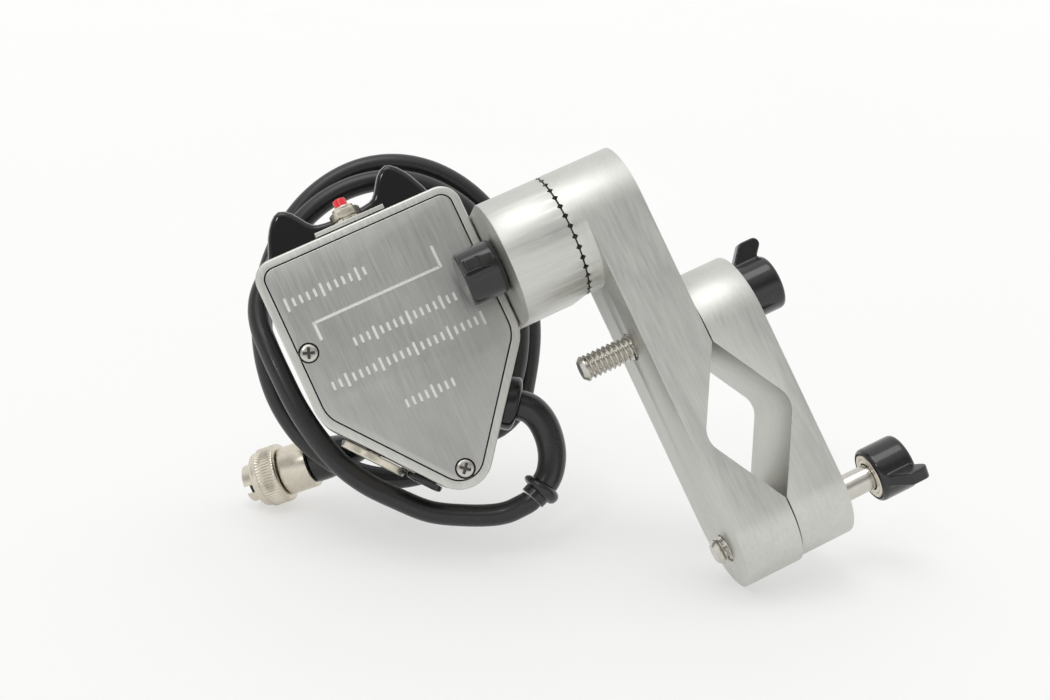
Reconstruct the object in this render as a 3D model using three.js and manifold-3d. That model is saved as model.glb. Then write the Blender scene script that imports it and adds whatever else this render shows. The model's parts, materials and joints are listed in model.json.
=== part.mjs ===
// Lens controller: a hand grip control head on a swivel, carried by a V clamp, with its cable coiled behind.
// Millimetres. The control head and the clamp are laid out upright, and the whole is then leaned as it stands:
// x runs along the hub screw from the head to the clamp, y runs away from the front panel, z runs up.
// The origin of the upright layout is on the hub screw, in the plane where the head meets the swivel.
import * as THREE from 'three';
import { mergeVertices } from 'three/addons/utils/BufferGeometryUtils.js';
import Module from 'manifold-3d';

const wasm = await Module();
wasm.setup();

// Fits
const fit = 0.3;
const overrun = 2;
const mergeTolerance = 1e-4;

// How many sides round pieces have, from pins up to the boss, and steps of a rounded corner
const pinSides = 6;
const screwSides = 8;
const bootSides = 10;
const postSides = 12;
const rodSides = 16;
const knobSides = 20;
const discSides = 24;
const bossSides = 32;
const cornerSteps = 4;

// Clamp jaws
const armRadius = 14.9;
const armLength = 77.5;
const bossHeight = 3.85;
const frontJawThickness = 14.16;
const rearJawThickness = 13.78;
const rearJawTopDrop = 34.9;
const rearJawFootRise = 0.7;
const notchDrop = 56.5;
const notchHalfHeight = 19.3;
const notchDepth = 11.1;
const notchRadius = 5.5;

// Swivel
const bracketThickness = 15.35;
const bracketReach = 21.5;
const bracketCornerRadius = 1.5;
const rosetteGrooves = 36;
const grooveWidth = 1.3;
const grooveDepth = 0.65;
const grooveLip = 0.2;

// Clamp and hub screws with their knobs
const screwDiameter = 6.35;
const screwChamfer = 0.9;
const screwGrip = 6.4;
const clampScrewLength = 42;
const upperScrewDrop = 30.5;
const lowerScrewFootDrop = 5;
const upperKnobStandOff = 0.5;
const lowerKnobStandOff = 10.7;
const hubScrewEnd = 30;
const knobRadius = 6.75;
const knobLength = 9.5;
const knobEdgeRadius = 0.9;
const knobRingRadius = 5.6;
const knobRingThickness = 0.8;
const wingWidth = 3;
const wingReach = 11.3;
const hubWingReach = 9.9;
const wingStart = 5;
const wingRootFront = 0.3;
const wingRootBack = 6.6;
const wingTipFront = 5.5;
const wingTipBack = 11.8;
const wingCornerRadius = 1.4;
const lowerWingLean = 0.3;
const hubWingLean = 0.2;

// Head housing
const headCentreX = -27.1;
const headWidth = 53;
const headTop = 24.6;
const headShoulderDrop = 15.8;
const headTipDrop = 49.6;
const headFront = 10.2;
const headDepth = 26;
const headWall = 2;
const topCornerRadius = 5;
const shoulderCornerRadius = 10;
const tipCornerRadius = 8;
const panelThickness = 2;

// Panel screws and the posts they enter
const panelScrewInset = 2.25;
const panelScrewHeight = 0.5;
const panelScrewWallDistance = 6;
const panelHeadRadius = 2.1;
const panelHeadHeight = 1.3;
const panelShankRadius = 1.25;
const panelScrewLength = 9;
const panelPostRadius = 2.7;
const crossWidth = 0.5;
const crossSpan = 2.4;
const crossDepth = 0.7;
const crossTurn = Math.PI / 5;

// Bracket screws
const bracketScrewRadius = 1.5;
const bracketScrewHeadRadius = 2.7;
const bracketScrewHeadHeight = 1.8;
const bracketScrewLength = 9;
const bracketScrewDepth = 16.3;
const bracketScrewSpread = 9;

// Zoom rocker
const rockerRadius = 22.3;
const rockerHornHeight = 16.2;
const rockerFront = 19.6;
const rockerThickness = 11;
const rockerPivotDrop = 4.6;
const rockerSkirtDrop = 2;
const rockerSlotMargin = 0.5;
const rockerHollowRadius = 5.6;
const rockerHubFront = 1.5;
const rockerHubThickness = 3.5;
const pinRadius = 1.2;
const springRadius = 2.9;
const springThickness = 2.3;
const earRadius = 3.2;
const earThickness = 1.3;
const yokeDrop = 9.5;
const yokePlate = 1.5;
const zoomPotHalfWidth = 4.2;
const zoomPotRise = 2.2;
const zoomPotDrop = 7;
const zoomPotThickness = 4.6;

// Record button
const buttonDepth = 15.8;
const buttonPlateHalfWidth = 8.9;
const buttonPlateDepth = 8;
const buttonPlateHeight = 1.1;
const buttonPlateSetBack = 0.5;
const washerRadius = 3.5;
const washerThickness = 0.5;
const washerTeeth = 10;
const washerNotchRadius = 0.3;
const nutFlats = 6.8;
const nutHeight = 2;
const bushingRadius = 2.7;
const bushingBore = 1.95;
const bushingStandOut = 5.4;
const bushingDrop = 5.5;
const capRadius = 1.65;
const capStandOut = 7.5;
const buttonTravel = 1.2;
const stemFlange = 0.9;
const switchSide = 6.4;
const switchHeight = 7;

// Speed dial and its potentiometer, on the lower left wall
const sideFeatureDepth = 19.5;
const dialPlace = 14.8;
const dialRadius = 8.5;
const dialThickness = 1.9;
const dialEdgeRadius = 0.6;
const dialStandOff = 0.5;
const dialShaftRadius = 1.5;
const dialShaftLength = 6.5;
const dialPotRadius = 5.5;
const dialPotThickness = 6;
const dialBushingRadius = 2.7;
const dialBushingStandOut = 0.2;

// Rubber plug on the lower left wall
const plugPlace = 28.4;
const plugRadius = 4.7;
const plugHeight = 1.6;
const plugStemRadius = 3;
const plugBarbRadius = 3.7;
const plugBarbThickness = 1.2;

// Cable gland on the lower right wall
const glandPlace = 17;
const collarRadius = 6.8;
const collarHeight = 3.4;
const collarEdgeRadius = 1.2;
const glandStemRadius = 4;
const glandNutFlats = 11;
const glandNutThickness = 2.6;
const bootStartRadius = 3.8;
const bootEndRadius = 3.15;
const beadRadius = 4.9;
const beadHalfLength = 1.25;
const beadStart = 3.2;
const bootRings = 24;

// Circuit board
const boardFront = 27.6;
const boardThickness = 1.6;
const boardHalfWidth = 17;
const boardTop = 6;
const boardBottom = -29;
const boardCornerCut = 9;
const boardPostRadius = 2.4;
const boardScrewRadius = 1.1;
const boardScrewHeadRadius = 2;
const boardScrewHeadHeight = 1.2;
const boardScrewInset = 3.4;

// Cable
const cableDiameter = 5.5;
const tubeSides = 8;
const leadSteps = 30;
const tailSteps = 12;
const coilSides = 6;
const coilStepsPerTurn = 24;

// Coil: an oval leaned clockwise, that shifts as it goes back
const coilCentreX = -25.9;
const coilCentreDrop = 1.75;
const coilCentreStart = 34;
const coilDriftX = 0.067;
const coilDriftDrop = -0.083;
const coilHalfWidth = 35.8;
const coilHalfHeight = 45;
const coilLean = 0.37;
const coilStartAngle = 3.6;
const coilEndAngle = 12.9;
const coilStartDepth = 40;
const coilSetBack = 5.6;
const coilSetBackPower = 1.4;
// How much of the oval's size each part of the winding has, at even steps from its start to its end
const coilReachShares = [0.955, 0.9, 0.88, 0.89, 0.87, 0.835, 0.88, 0.97, 1, 1, 1, 1, 0.985];

// Connector, along its axis from the front of the coupling ring towards the cable
const connectorPlace = new THREE.Vector3(-74.9, 59.9, -20.7);
const connectorAim = new THREE.Vector3(0.948, -0.299, -0.11).normalize();
const ringRadius = 7.9;
const ringLength = 7.6;
const ringChamfer = 0.9;
const ringCollarLength = 1.9;
const ringCollarRadius = 7.3;
const shellRadius = 5;
const shellWall = 0.8;
const shellNose = 3;
const keywayWidth = 2.2;
const keywayLength = 2.6;
const shellTailRadius = 4.6;
const shellTailLength = 3.6;
const barrelRadius = 6.5;
const barrelLength = 7.8;
const barrelChamfer = 0.5;
const insertRecess = 1.2;
const insertLength = 6;
const pinCount = 6;
const contactRadius = 0.45;
const contactCircle = 2.3;
const contactStandOut = 0.8;
const sleeveRadius = 5.6;
const sleeveEndRadius = 3.6;
const sleeveLength = 14;
const sleeveSpigotRadius = 3.8;
const sleeveSpigotLength = 3;

// How the whole thing leans on the surface it stands on
const leanTurn = THREE.MathUtils.degToRad(16.26);
const leanRaise = THREE.MathUtils.degToRad(-20.83);
const leanRoll = THREE.MathUtils.degToRad(-23.42);

// Worked out from the sizes above
const screwRadius = screwDiameter / 2;
const cableRadius = cableDiameter / 2;
const headLeft = headCentreX - headWidth / 2;
const headRight = headCentreX + headWidth / 2;
const headBack = headFront + headDepth;
const bracketLeft = headRight + fit;
const bossFace = bracketThickness + fit;
const armFace = bossFace + bossHeight;
const partingFace = armFace + frontJawThickness;
const rearJawFace = partingFace + fit;
const rearJawBack = rearJawFace + rearJawThickness;
const rearJawLength = armLength - rearJawFootRise - rearJawTopDrop;
const lowerScrewDrop = armLength + lowerScrewFootDrop;
const tipHalfAngle = Math.atan2(headWidth / 2, headTipDrop - headShoulderDrop);
const panelScrewTipRise = panelScrewWallDistance / Math.sin(tipHalfAngle);
const up = new THREE.Vector3(0, 0, 1);

// Finishes
const machinedAluminium = finish(0xb9bab6, 0.38, 0.9);
const brushedAluminium = finish(0xaaaca8, 0.42, 0.9);
const stainless = finish(0xa8a49a, 0.3, 0.95);
const nickel = finish(0xb8b09c, 0.28, 0.95);
const glossBlack = finish(0x0c0c0e, 0.12, 0);
const satinBlack = finish(0x16171a, 0.3, 0);
const rubberBlack = finish(0x141416, 0.45, 0);
const cableBlack = finish(0x1a1b1e, 0.4, 0);
const redPlastic = finish(0xd01020, 0.3, 0);
const boardGreen = finish(0x1f5a36, 0.5, 0);
const springSteel = finish(0x8c8c8c, 0.3, 0.9);

function finish(color, roughness, metalness) {
  return new THREE.MeshStandardMaterial({ color, roughness, metalness });
}

// Solids

function signedVolume(positions, triangles) {
  const [a, b, c] = [new THREE.Vector3(), new THREE.Vector3(), new THREE.Vector3()];
  let total = 0;
  for (let i = 0; i < triangles.length; i += 3) {
    a.fromArray(positions, triangles[i] * 3);
    b.fromArray(positions, triangles[i + 1] * 3);
    c.fromArray(positions, triangles[i + 2] * 3);
    total += a.dot(b.cross(c));
  }
  return total;
}

// A closed surface as a solid whose faces point outwards
function solid(geometry) {
  const bare = geometry.clone();
  bare.deleteAttribute('normal');
  bare.deleteAttribute('uv');
  const merged = mergeVertices(bare, mergeTolerance);
  const positions = merged.attributes.position.array;
  const index = merged.index.array;
  const triangles = [];
  for (let i = 0; i < index.length; i += 3) {
    const [a, b, c] = [index[i], index[i + 1], index[i + 2]];
    if (a !== b && b !== c && c !== a) triangles.push(a, b, c);
  }
  if (signedVolume(positions, triangles) < 0) triangles.reverse();
  const mesh = new wasm.Mesh({
    numProp: 3,
    vertProperties: new Float32Array(positions),
    triVerts: new Uint32Array(triangles),
  });
  return new wasm.Manifold(mesh);
}

function join(first, ...others) {
  return others.reduce((whole, part) => whole.add(part), first);
}

function cut(first, ...others) {
  return others.reduce((whole, part) => whole.subtract(part), first);
}

function piece(name, shape, material) {
  const mesh = shape.getMesh();
  const geometry = new THREE.BufferGeometry();
  geometry.setAttribute('position', new THREE.BufferAttribute(new Float32Array(mesh.vertProperties), 3));
  geometry.setIndex(new THREE.BufferAttribute(new Uint32Array(mesh.triVerts), 1));
  geometry.computeVertexNormals();
  const made = new THREE.Mesh(geometry, material);
  made.name = name;
  return made;
}

// Like pieces, each its own mesh with a number in its name
function numbered(name, shapes, material) {
  return shapes.map((shape, i) => piece(`${name}_${i + 1}`, shape, material));
}

function extruded(shape, from, to, curveSegments) {
  const geometry = new THREE.ExtrudeGeometry(shape, { depth: to - from, bevelEnabled: false, curveSegments });
  geometry.translate(0, 0, from);
  return geometry;
}

// An outline in (y, z) drawn out along x
function prismX(shape, from, to, curveSegments = postSides) {
  const geometry = extruded(shape, from, to, curveSegments);
  const turn = new THREE.Matrix4().set(0, 0, 1, 0, 1, 0, 0, 0, 0, 1, 0, 0, 0, 0, 0, 1);
  return solid(geometry.applyMatrix4(turn));
}

// An outline in (x, z) drawn out along y
function prismY(shape, from, to, curveSegments = postSides) {
  const geometry = extruded(shape, -to, -from, curveSegments);
  return solid(geometry.rotateX(Math.PI / 2));
}

// An outline in (x, y) drawn out along z
function prismZ(shape, from, to, curveSegments = postSides) {
  return solid(extruded(shape, from, to, curveSegments));
}

// A profile of (radius, height) points turned about z
function turned(profile, sides = bossSides) {
  const points = profile.map(([radius, height]) => new THREE.Vector2(radius, height));
  return solid(new THREE.LatheGeometry(points, sides).rotateX(Math.PI / 2));
}

function rod(radius, from, to, sides = rodSides) {
  return turned([[0, from], [radius, from], [radius, to], [0, to]], sides);
}

function tube(outer, inner, from, to, sides = rodSides) {
  return turned([[inner, from], [outer, from], [outer, to], [inner, to], [inner, from]], sides);
}

// A hexagon nut by its width across flats
function hexNut(flats, bore, from, to) {
  const corners = [];
  for (let i = 0; i < 6; i += 1) {
    const corner = new THREE.Vector2(flats / Math.sqrt(3), 0);
    corners.push(corner.rotateAround(new THREE.Vector2(), (Math.PI * i) / 3));
  }
  return cut(prismZ(new THREE.Shape(corners), from, to), rod(bore, from - overrun, to + overrun));
}

function block(from, to) {
  const size = new THREE.Vector3().subVectors(to, from);
  const geometry = new THREE.BoxGeometry(size.x, size.y, size.z);
  geometry.translate((from.x + to.x) / 2, (from.y + to.y) / 2, (from.z + to.z) / 2);
  return solid(geometry);
}

function moved(shape, x, y, z) {
  return shape.translate([x, y, z]);
}

// A solid made along z, set down at a place and aimed along a direction
function aimed(shape, place, direction) {
  const turn = new THREE.Quaternion().setFromUnitVectors(up, direction.clone().normalize());
  const matrix = new THREE.Matrix4().compose(place, turn, new THREE.Vector3(1, 1, 1));
  return shape.transform(matrix.elements);
}

// Outlines

// A closed outline through corner points, each corner rounded by its own radius
function roundedShape(corners, radii, steps = cornerSteps) {
  const points = [];
  corners.forEach((corner, i) => {
    const before = corners[(i + corners.length - 1) % corners.length].clone().sub(corner).normalize();
    const after = corners[(i + 1) % corners.length].clone().sub(corner).normalize();
    const half = Math.acos(before.dot(after)) / 2;
    const toCentre = before.clone().add(after).normalize().multiplyScalar(radii[i] / Math.sin(half));
    const centre = corner.clone().add(toCentre);
    const start = corner.clone().addScaledVector(before, radii[i] / Math.tan(half)).sub(centre);
    const end = corner.clone().addScaledVector(after, radii[i] / Math.tan(half)).sub(centre);
    const sweep = Math.atan2(start.cross(end), start.dot(end));
    const zero = new THREE.Vector2();
    for (let k = 0; k <= steps; k += 1) {
      points.push(start.clone().rotateAround(zero, (sweep * k) / steps).add(centre));
    }
  });
  return new THREE.Shape(points);
}

// The corners of a convex outline, anticlockwise, moved inwards by one distance
function insetCorners(corners, distance) {
  return corners.map((corner, i) => {
    const before = corner.clone().sub(corners[(i + corners.length - 1) % corners.length]).normalize();
    const after = corners[(i + 1) % corners.length].clone().sub(corner).normalize();
    const inBefore = new THREE.Vector2(-before.y, before.x);
    const inAfter = new THREE.Vector2(-after.y, after.x);
    const sum = inBefore.clone().add(inAfter);
    return corner.clone().addScaledVector(sum, distance / (1 + inBefore.dot(inAfter)));
  });
}

function stadium(radius, top, bottom) {
  const shape = new THREE.Shape();
  shape.absarc(0, top, radius, 0, Math.PI, false);
  shape.absarc(0, bottom, radius, Math.PI, 2 * Math.PI, false);
  return shape;
}

function disc(radius) {
  return new THREE.Shape().absarc(0, 0, radius, 0, 2 * Math.PI, false);
}

// Places on the head

function headCorners(inset) {
  const corners = [
    new THREE.Vector2(headLeft, headTop),
    new THREE.Vector2(headLeft, -headShoulderDrop),
    new THREE.Vector2(headCentreX, -headTipDrop),
    new THREE.Vector2(headRight, -headShoulderDrop),
    new THREE.Vector2(headRight, headTop),
  ];
  return insetCorners(corners, inset);
}

function headShape(inset) {
  const radii = [topCornerRadius, shoulderCornerRadius, tipCornerRadius, shoulderCornerRadius, topCornerRadius];
  return roundedShape(headCorners(inset), radii.map((radius) => radius - inset));
}

// The two slanting walls: a frame whose z points out of the wall, at a place measured down from the shoulder
function slantFrame(side, place) {
  const shoulder = new THREE.Vector2(headCentreX + side * headWidth / 2, -headShoulderDrop);
  const tip = new THREE.Vector2(headCentreX, -headTipDrop);
  const along = tip.sub(shoulder).normalize();
  const point = shoulder.clone().addScaledVector(along, place);
  const outward = new THREE.Vector3(-side * along.y, 0, side * along.x);
  const down = new THREE.Vector3(along.x, 0, along.y);
  return { point: new THREE.Vector3(point.x, sideFeatureDepth, point.y), outward, down };
}

const dialFrame = slantFrame(-1, dialPlace);
const plugFrame = slantFrame(-1, plugPlace);
const glandFrame = slantFrame(1, glandPlace);

function onSlant(shape, frame) {
  return aimed(shape, frame.point, frame.outward);
}

// Clamp jaws

function notch(face, side) {
  const slope = notchHalfHeight / notchDepth;
  const mouth = notchHalfHeight + overrun * slope;
  const corners = [
    new THREE.Vector2(face - side * overrun, -notchDrop + mouth),
    new THREE.Vector2(face + side * notchDepth, -notchDrop),
    new THREE.Vector2(face - side * overrun, -notchDrop - mouth),
  ];
  return prismY(roundedShape(corners, [0, notchRadius, 0]), -armRadius - overrun, armRadius + overrun);
}

function screwHole(from, to, drop) {
  const hole = prismX(disc(screwRadius + fit), from, to, postSides);
  return moved(hole, 0, 0, -drop);
}

// The ring of V grooves cut into a swivel face; side points into the metal
function rosette(face, side) {
  const grooves = [];
  for (let i = 0; i < rosetteGrooves; i += 1) {
    const lipHalfWidth = (grooveWidth / 2) * (1 + grooveLip / grooveDepth);
    const profile = new THREE.Shape([
      new THREE.Vector2(-lipHalfWidth, -grooveLip),
      new THREE.Vector2(lipHalfWidth, -grooveLip),
      new THREE.Vector2(0, grooveDepth),
    ]);
    const groove = extruded(profile, armRadius / 2, armRadius + overrun, 1);
    const turn = new THREE.Matrix4().makeBasis(
      new THREE.Vector3(0, 1, 0),
      new THREE.Vector3(side, 0, 0),
      new THREE.Vector3(0, 0, -side),
    );
    const place = new THREE.Matrix4().makeTranslation(face, 0, 0);
    const spin = new THREE.Matrix4().makeRotationX((2 * Math.PI * i) / rosetteGrooves);
    grooves.push(solid(groove.applyMatrix4(place.multiply(spin).multiply(turn))));
  }
  return wasm.Manifold.union(grooves);
}

function clampFrontJaw() {
  const arm = prismX(stadium(armRadius, 0, -armLength), armFace, partingFace, knobSides);
  const boss = prismX(disc(armRadius), bossFace, armFace + overrun / 2, bossSides);
  const shape = cut(
    join(arm, boss),
    notch(partingFace, -1),
    rosette(bossFace, 1),
    screwHole(bossFace - overrun, hubScrewEnd + fit, 0),
    screwHole(armFace - overrun, partingFace + overrun, upperScrewDrop),
    screwHole(armFace - overrun, partingFace + overrun, lowerScrewDrop),
  );
  return piece('clamp_front_jaw', shape, machinedAluminium);
}

function clampRearJaw() {
  const bar = prismX(
    stadium(armRadius, -rearJawTopDrop, -rearJawTopDrop - rearJawLength),
    rearJawFace, rearJawBack, knobSides,
  );
  const shape = cut(
    bar,
    notch(rearJawFace, 1),
    screwHole(rearJawFace - overrun, rearJawBack + overrun, upperScrewDrop),
    screwHole(rearJawFace - overrun, rearJawBack + overrun, lowerScrewDrop),
  );
  return piece('clamp_rear_jaw', shape, machinedAluminium);
}

// Screws and wing knobs, made along z with the knob's front face at zero

function threadedRod(length) {
  return turned([
    [0, -length], [screwRadius - screwChamfer, -length], [screwRadius, -length + screwChamfer],
    [screwRadius, screwGrip], [0, screwGrip],
  ], rodSides);
}

// The wing leans back as it goes out; the hub knob's is shorter, so that it turns clear of the front panel
function wingKnob(reach) {
  const easing = knobEdgeRadius * (1 - Math.SQRT1_2);
  const body = turned([
    [0, 0], [knobRadius - knobEdgeRadius, 0], [knobRadius - easing, easing],
    [knobRadius, knobEdgeRadius], [knobRadius, knobLength - knobEdgeRadius],
    [knobRadius - easing, knobLength - easing], [knobRadius - knobEdgeRadius, knobLength], [0, knobLength],
  ], discSides);
  const wingOutline = roundedShape([
    new THREE.Vector2(wingRootFront, wingStart),
    new THREE.Vector2(wingTipFront, reach),
    new THREE.Vector2(wingTipBack, reach),
    new THREE.Vector2(wingRootBack, wingStart),
  ], [0, wingCornerRadius, wingCornerRadius, 0]);
  const wing = solid(
    extruded(wingOutline, -wingWidth / 2, wingWidth / 2, 1)
      .applyMatrix4(new THREE.Matrix4().set(0, 1, 0, 0, 0, 0, 1, 0, 1, 0, 0, 0, 0, 0, 0, 1)),
  );
  const ringSeat = rod(knobRingRadius + fit, -overrun, knobRingThickness + fit, knobSides);
  const bore = rod(screwRadius + fit, -overrun, screwGrip + fit, rodSides);
  return cut(join(body, wing), ringSeat, bore);
}

function knobRing() {
  return tube(knobRingRadius, screwRadius + fit, 0, knobRingThickness, knobSides);
}

// A screw, its knob and the knob's ring, with the knob's front at a place and its wing pointing one way
function knobSet(name, length, place, direction, wing, reach) {
  const across = wing.clone().normalize();
  const group = new THREE.Group();
  group.add(
    piece(`${name}_screw`, threadedRod(length), stainless),
    piece(`${name}_knob`, wingKnob(reach), glossBlack),
    piece(`${name}_knob_ring`, knobRing(), nickel),
  );
  const basis = new THREE.Matrix4().makeBasis(across, direction.clone().cross(across), direction);
  group.quaternion.setFromRotationMatrix(basis);
  group.position.copy(place);
  return group;
}

function knobs() {
  const outward = new THREE.Vector3(1, 0, 0);
  return [
    knobSet(
      'upper_clamp', clampScrewLength, new THREE.Vector3(rearJawBack + upperKnobStandOff, 0, -upperScrewDrop),
      outward, up, wingReach,
    ),
    knobSet(
      'lower_clamp', clampScrewLength, new THREE.Vector3(rearJawBack + lowerKnobStandOff, 0, -lowerScrewDrop),
      outward, new THREE.Vector3(0, -1, -lowerWingLean), wingReach,
    ),
    knobSet(
      'hub', hubScrewEnd - bracketLeft + fit, new THREE.Vector3(bracketLeft - fit, 0, 0),
      outward.clone().negate(), new THREE.Vector3(0, -1, hubWingLean), hubWingReach,
    ),
  ];
}

// Swivel bracket and its screws

function bracketScrewPlaces() {
  return [bracketScrewSpread, -bracketScrewSpread].map((height) => [bracketScrewDepth, height]);
}

function swivelBracket() {
  const shape = new THREE.Shape();
  shape.absarc(0, 0, armRadius, Math.PI / 2, 3 * Math.PI / 2, false);
  shape.lineTo(bracketReach - bracketCornerRadius, -armRadius);
  shape.absarc(
    bracketReach - bracketCornerRadius, -armRadius + bracketCornerRadius, bracketCornerRadius,
    -Math.PI / 2, 0, false,
  );
  shape.absarc(
    bracketReach - bracketCornerRadius, armRadius - bracketCornerRadius, bracketCornerRadius,
    0, Math.PI / 2, false,
  );
  const bore = prismX(disc(screwRadius + fit), bracketLeft - overrun, bracketThickness + overrun, knobSides);
  const holes = bracketScrewPlaces().map(([depth, height]) => {
    const along = [bracketLeft - overrun, bracketScrewLength + fit];
    const hole = prismX(disc(bracketScrewRadius + fit), ...along, screwSides);
    return moved(hole, 0, depth, height);
  });
  const body = prismX(shape, bracketLeft, bracketThickness, knobSides);
  return piece('swivel_bracket', cut(body, bore, rosette(bracketThickness, -1), ...holes), machinedAluminium);
}

function bracketScrews() {
  const headFace = headRight - headWall - fit;
  const screws = bracketScrewPlaces().map(([depth, height]) => {
    const neck = headFace - bracketScrewHeadHeight / 2;
    const shank = rod(bracketScrewRadius, neck, bracketScrewLength, screwSides);
    const head = rod(bracketScrewHeadRadius, headFace - bracketScrewHeadHeight, headFace, postSides);
    const along = aimed(join(shank, head), new THREE.Vector3(), new THREE.Vector3(1, 0, 0));
    return moved(along, 0, depth, height);
  });
  return numbered('bracket_screw', screws, stainless);
}

// Head housing, front panel and their screws

function panelScrewPlaces() {
  const edge = headWidth / 2 - headWall - fit - panelScrewInset;
  return [
    [headCentreX - edge, panelScrewHeight],
    [headCentreX + edge, panelScrewHeight],
    [headCentreX, -headTipDrop + panelScrewTipRise],
  ];
}

function boardScrewPlaces() {
  const edge = boardHalfWidth - boardScrewInset;
  return [
    [headCentreX - edge, boardTop - boardScrewInset],
    [headCentreX + edge, boardTop - boardScrewInset],
    [headCentreX, boardBottom + boardScrewInset],
  ];
}

// A solid made along z, turned to run back along y from a place in the front plane
function backwards(shape, x, depth, z) {
  return aimed(shape, new THREE.Vector3(x, depth, z), new THREE.Vector3(0, 1, 0));
}

function headHousing() {
  const inside = headBack - headWall;
  const posts = panelScrewPlaces().map(([x, z]) => {
    const from = headFront + panelThickness + fit;
    const post = rod(panelPostRadius, 0, inside - from + headWall / 2, postSides);
    const hole = rod(panelShankRadius + fit, -overrun, panelScrewLength, screwSides);
    return backwards(cut(post, hole), x, from, z);
  });
  const boardPosts = boardScrewPlaces().map(([x, z]) => {
    const from = boardFront + boardThickness + fit;
    const post = rod(boardPostRadius, 0, inside - from + headWall / 2, postSides);
    const hole = rod(boardScrewRadius + fit, -overrun, inside - from - fit, screwSides);
    return backwards(cut(post, hole), x, from, z);
  });
  const slot = block(
    new THREE.Vector3(headCentreX - rockerRadius - rockerSlotMargin, rockerFront - fit,
      headTop - headWall - overrun),
    new THREE.Vector3(headCentreX + rockerRadius + rockerSlotMargin, rockerFront + rockerThickness + fit,
      headTop + overrun),
  );
  const buttonHole = moved(
    rod(bushingRadius + fit, headTop - headWall - overrun, headTop + overrun), headCentreX, buttonDepth, 0,
  );
  const screwHoles = bracketScrewPlaces().map(([depth, height]) => moved(
    prismX(disc(bracketScrewRadius + fit), headRight - headWall - overrun, headRight + overrun, screwSides),
    0, depth, height,
  ));
  const wallHole = (radius) => rod(radius + fit, -headWall - overrun, overrun);
  const shell = cut(
    prismY(headShape(0), headFront, headBack),
    prismY(headShape(headWall), headFront - overrun, inside),
  );
  const shape = cut(
    join(shell, ...posts, ...boardPosts),
    slot, buttonHole, ...screwHoles,
    onSlant(wallHole(dialBushingRadius), dialFrame),
    onSlant(wallHole(plugStemRadius), plugFrame),
    onSlant(wallHole(glandStemRadius), glandFrame),
  );
  return piece('head_housing', shape, machinedAluminium);
}

function countersunk(headRadius, shankRadius, headHeight, length) {
  return turned([
    [0, 0], [headRadius, 0], [headRadius, fit], [shankRadius, headHeight], [shankRadius, length], [0, length],
  ], postSides);
}

function frontPanel() {
  const plate = prismY(headShape(headWall + fit), headFront, headFront + panelThickness);
  const holes = panelScrewPlaces().map(([x, z]) => {
    const sink = join(
      countersunk(
        panelHeadRadius + fit, panelShankRadius + fit, panelHeadHeight + fit, panelThickness + overrun,
      ),
      rod(panelHeadRadius + fit, -overrun, fit),
    );
    return backwards(sink, x, headFront, z);
  });
  return piece('front_panel', cut(plate, ...holes), brushedAluminium);
}

function crossRecess() {
  const bar = (turn) => {
    const shape = new THREE.Shape([
      new THREE.Vector2(-crossSpan / 2, -crossWidth / 2),
      new THREE.Vector2(crossSpan / 2, -crossWidth / 2),
      new THREE.Vector2(crossSpan / 2, crossWidth / 2),
      new THREE.Vector2(-crossSpan / 2, crossWidth / 2),
    ]);
    return solid(extruded(shape, -overrun, crossDepth, 1).rotateZ(turn));
  };
  return join(bar(crossTurn), bar(crossTurn + Math.PI / 2));
}

function panelScrews() {
  const screw = cut(
    countersunk(panelHeadRadius, panelShankRadius, panelHeadHeight, panelScrewLength), crossRecess(),
  );
  const screws = panelScrewPlaces().map(([x, z]) => backwards(screw, x, headFront, z));
  return numbered('panel_screw', screws, stainless);
}

// Zoom rocker; its group's origin is on its pivot, at the rocker's front face

// Half of the rocker's top edge from the middle to the flank: shares of its radius and of its horns' height
const rockerEdgeShares = [
  [0, 0.55], [0.15, 0.555], [0.31, 0.58], [0.395, 0.667], [0.51, 0.895], [0.64, 1], [0.76, 0.9],
  [0.865, 0.69], [0.945, 0.44],
];

function rockerOutline() {
  const half = rockerEdgeShares.map(([x, z]) => new THREE.Vector2(x * rockerRadius, z * rockerHornHeight));
  const mirrored = half.slice(1).reverse().map((point) => new THREE.Vector2(-point.x, point.y));
  const edge = new THREE.SplineCurve([...mirrored, ...half]).getPoints(cornerSteps * (half.length - 1));
  const flank = edge[edge.length - 1];
  const high = Math.asin(flank.y / rockerRadius);
  const low = -Math.asin(rockerSkirtDrop / rockerRadius);
  const shape = new THREE.Shape(edge);
  shape.absarc(0, 0, rockerRadius, high, low, true);
  shape.absarc(0, 0, rockerRadius, Math.PI - low, Math.PI - high, true);
  return shape;
}

function zoomRocker() {
  const cap = prismY(rockerOutline(), 0, rockerThickness, pinSides);
  const hubBack = rockerHubFront + rockerHubThickness;
  const hollow = (from, to) => prismY(disc(rockerHollowRadius), from, to, rodSides);
  const relieved = cut(
    cap, hollow(-overrun, rockerHubFront), hollow(hubBack, rockerThickness + overrun),
    prismY(disc(pinRadius + fit), -overrun, rockerThickness + overrun, screwSides),
  );
  return piece('zoom_rocker', relieved, glossBlack);
}

function rockerPin() {
  const end = yokeRear() + earThickness - fit;
  return piece('rocker_pin', prismY(disc(pinRadius), -fit, end, screwSides), springSteel);
}

function springFront() {
  return rockerHubFront + rockerHubThickness + fit;
}

function yokeRear() {
  return springFront() + springThickness + fit;
}

function rockerSpring() {
  const springBack = springFront() + springThickness;
  const coil = cut(
    prismY(disc(springRadius), springFront(), springBack, postSides),
    prismY(disc(pinRadius + fit), springFront() - overrun, springBack + overrun, screwSides),
  );
  const leg = block(
    new THREE.Vector3(pinRadius + fit, springFront(), -yokeDrop + fit),
    new THREE.Vector3(springRadius, springFront() + springThickness / 2, 0),
  );
  return piece('rocker_spring', join(coil, leg), springSteel);
}

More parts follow.
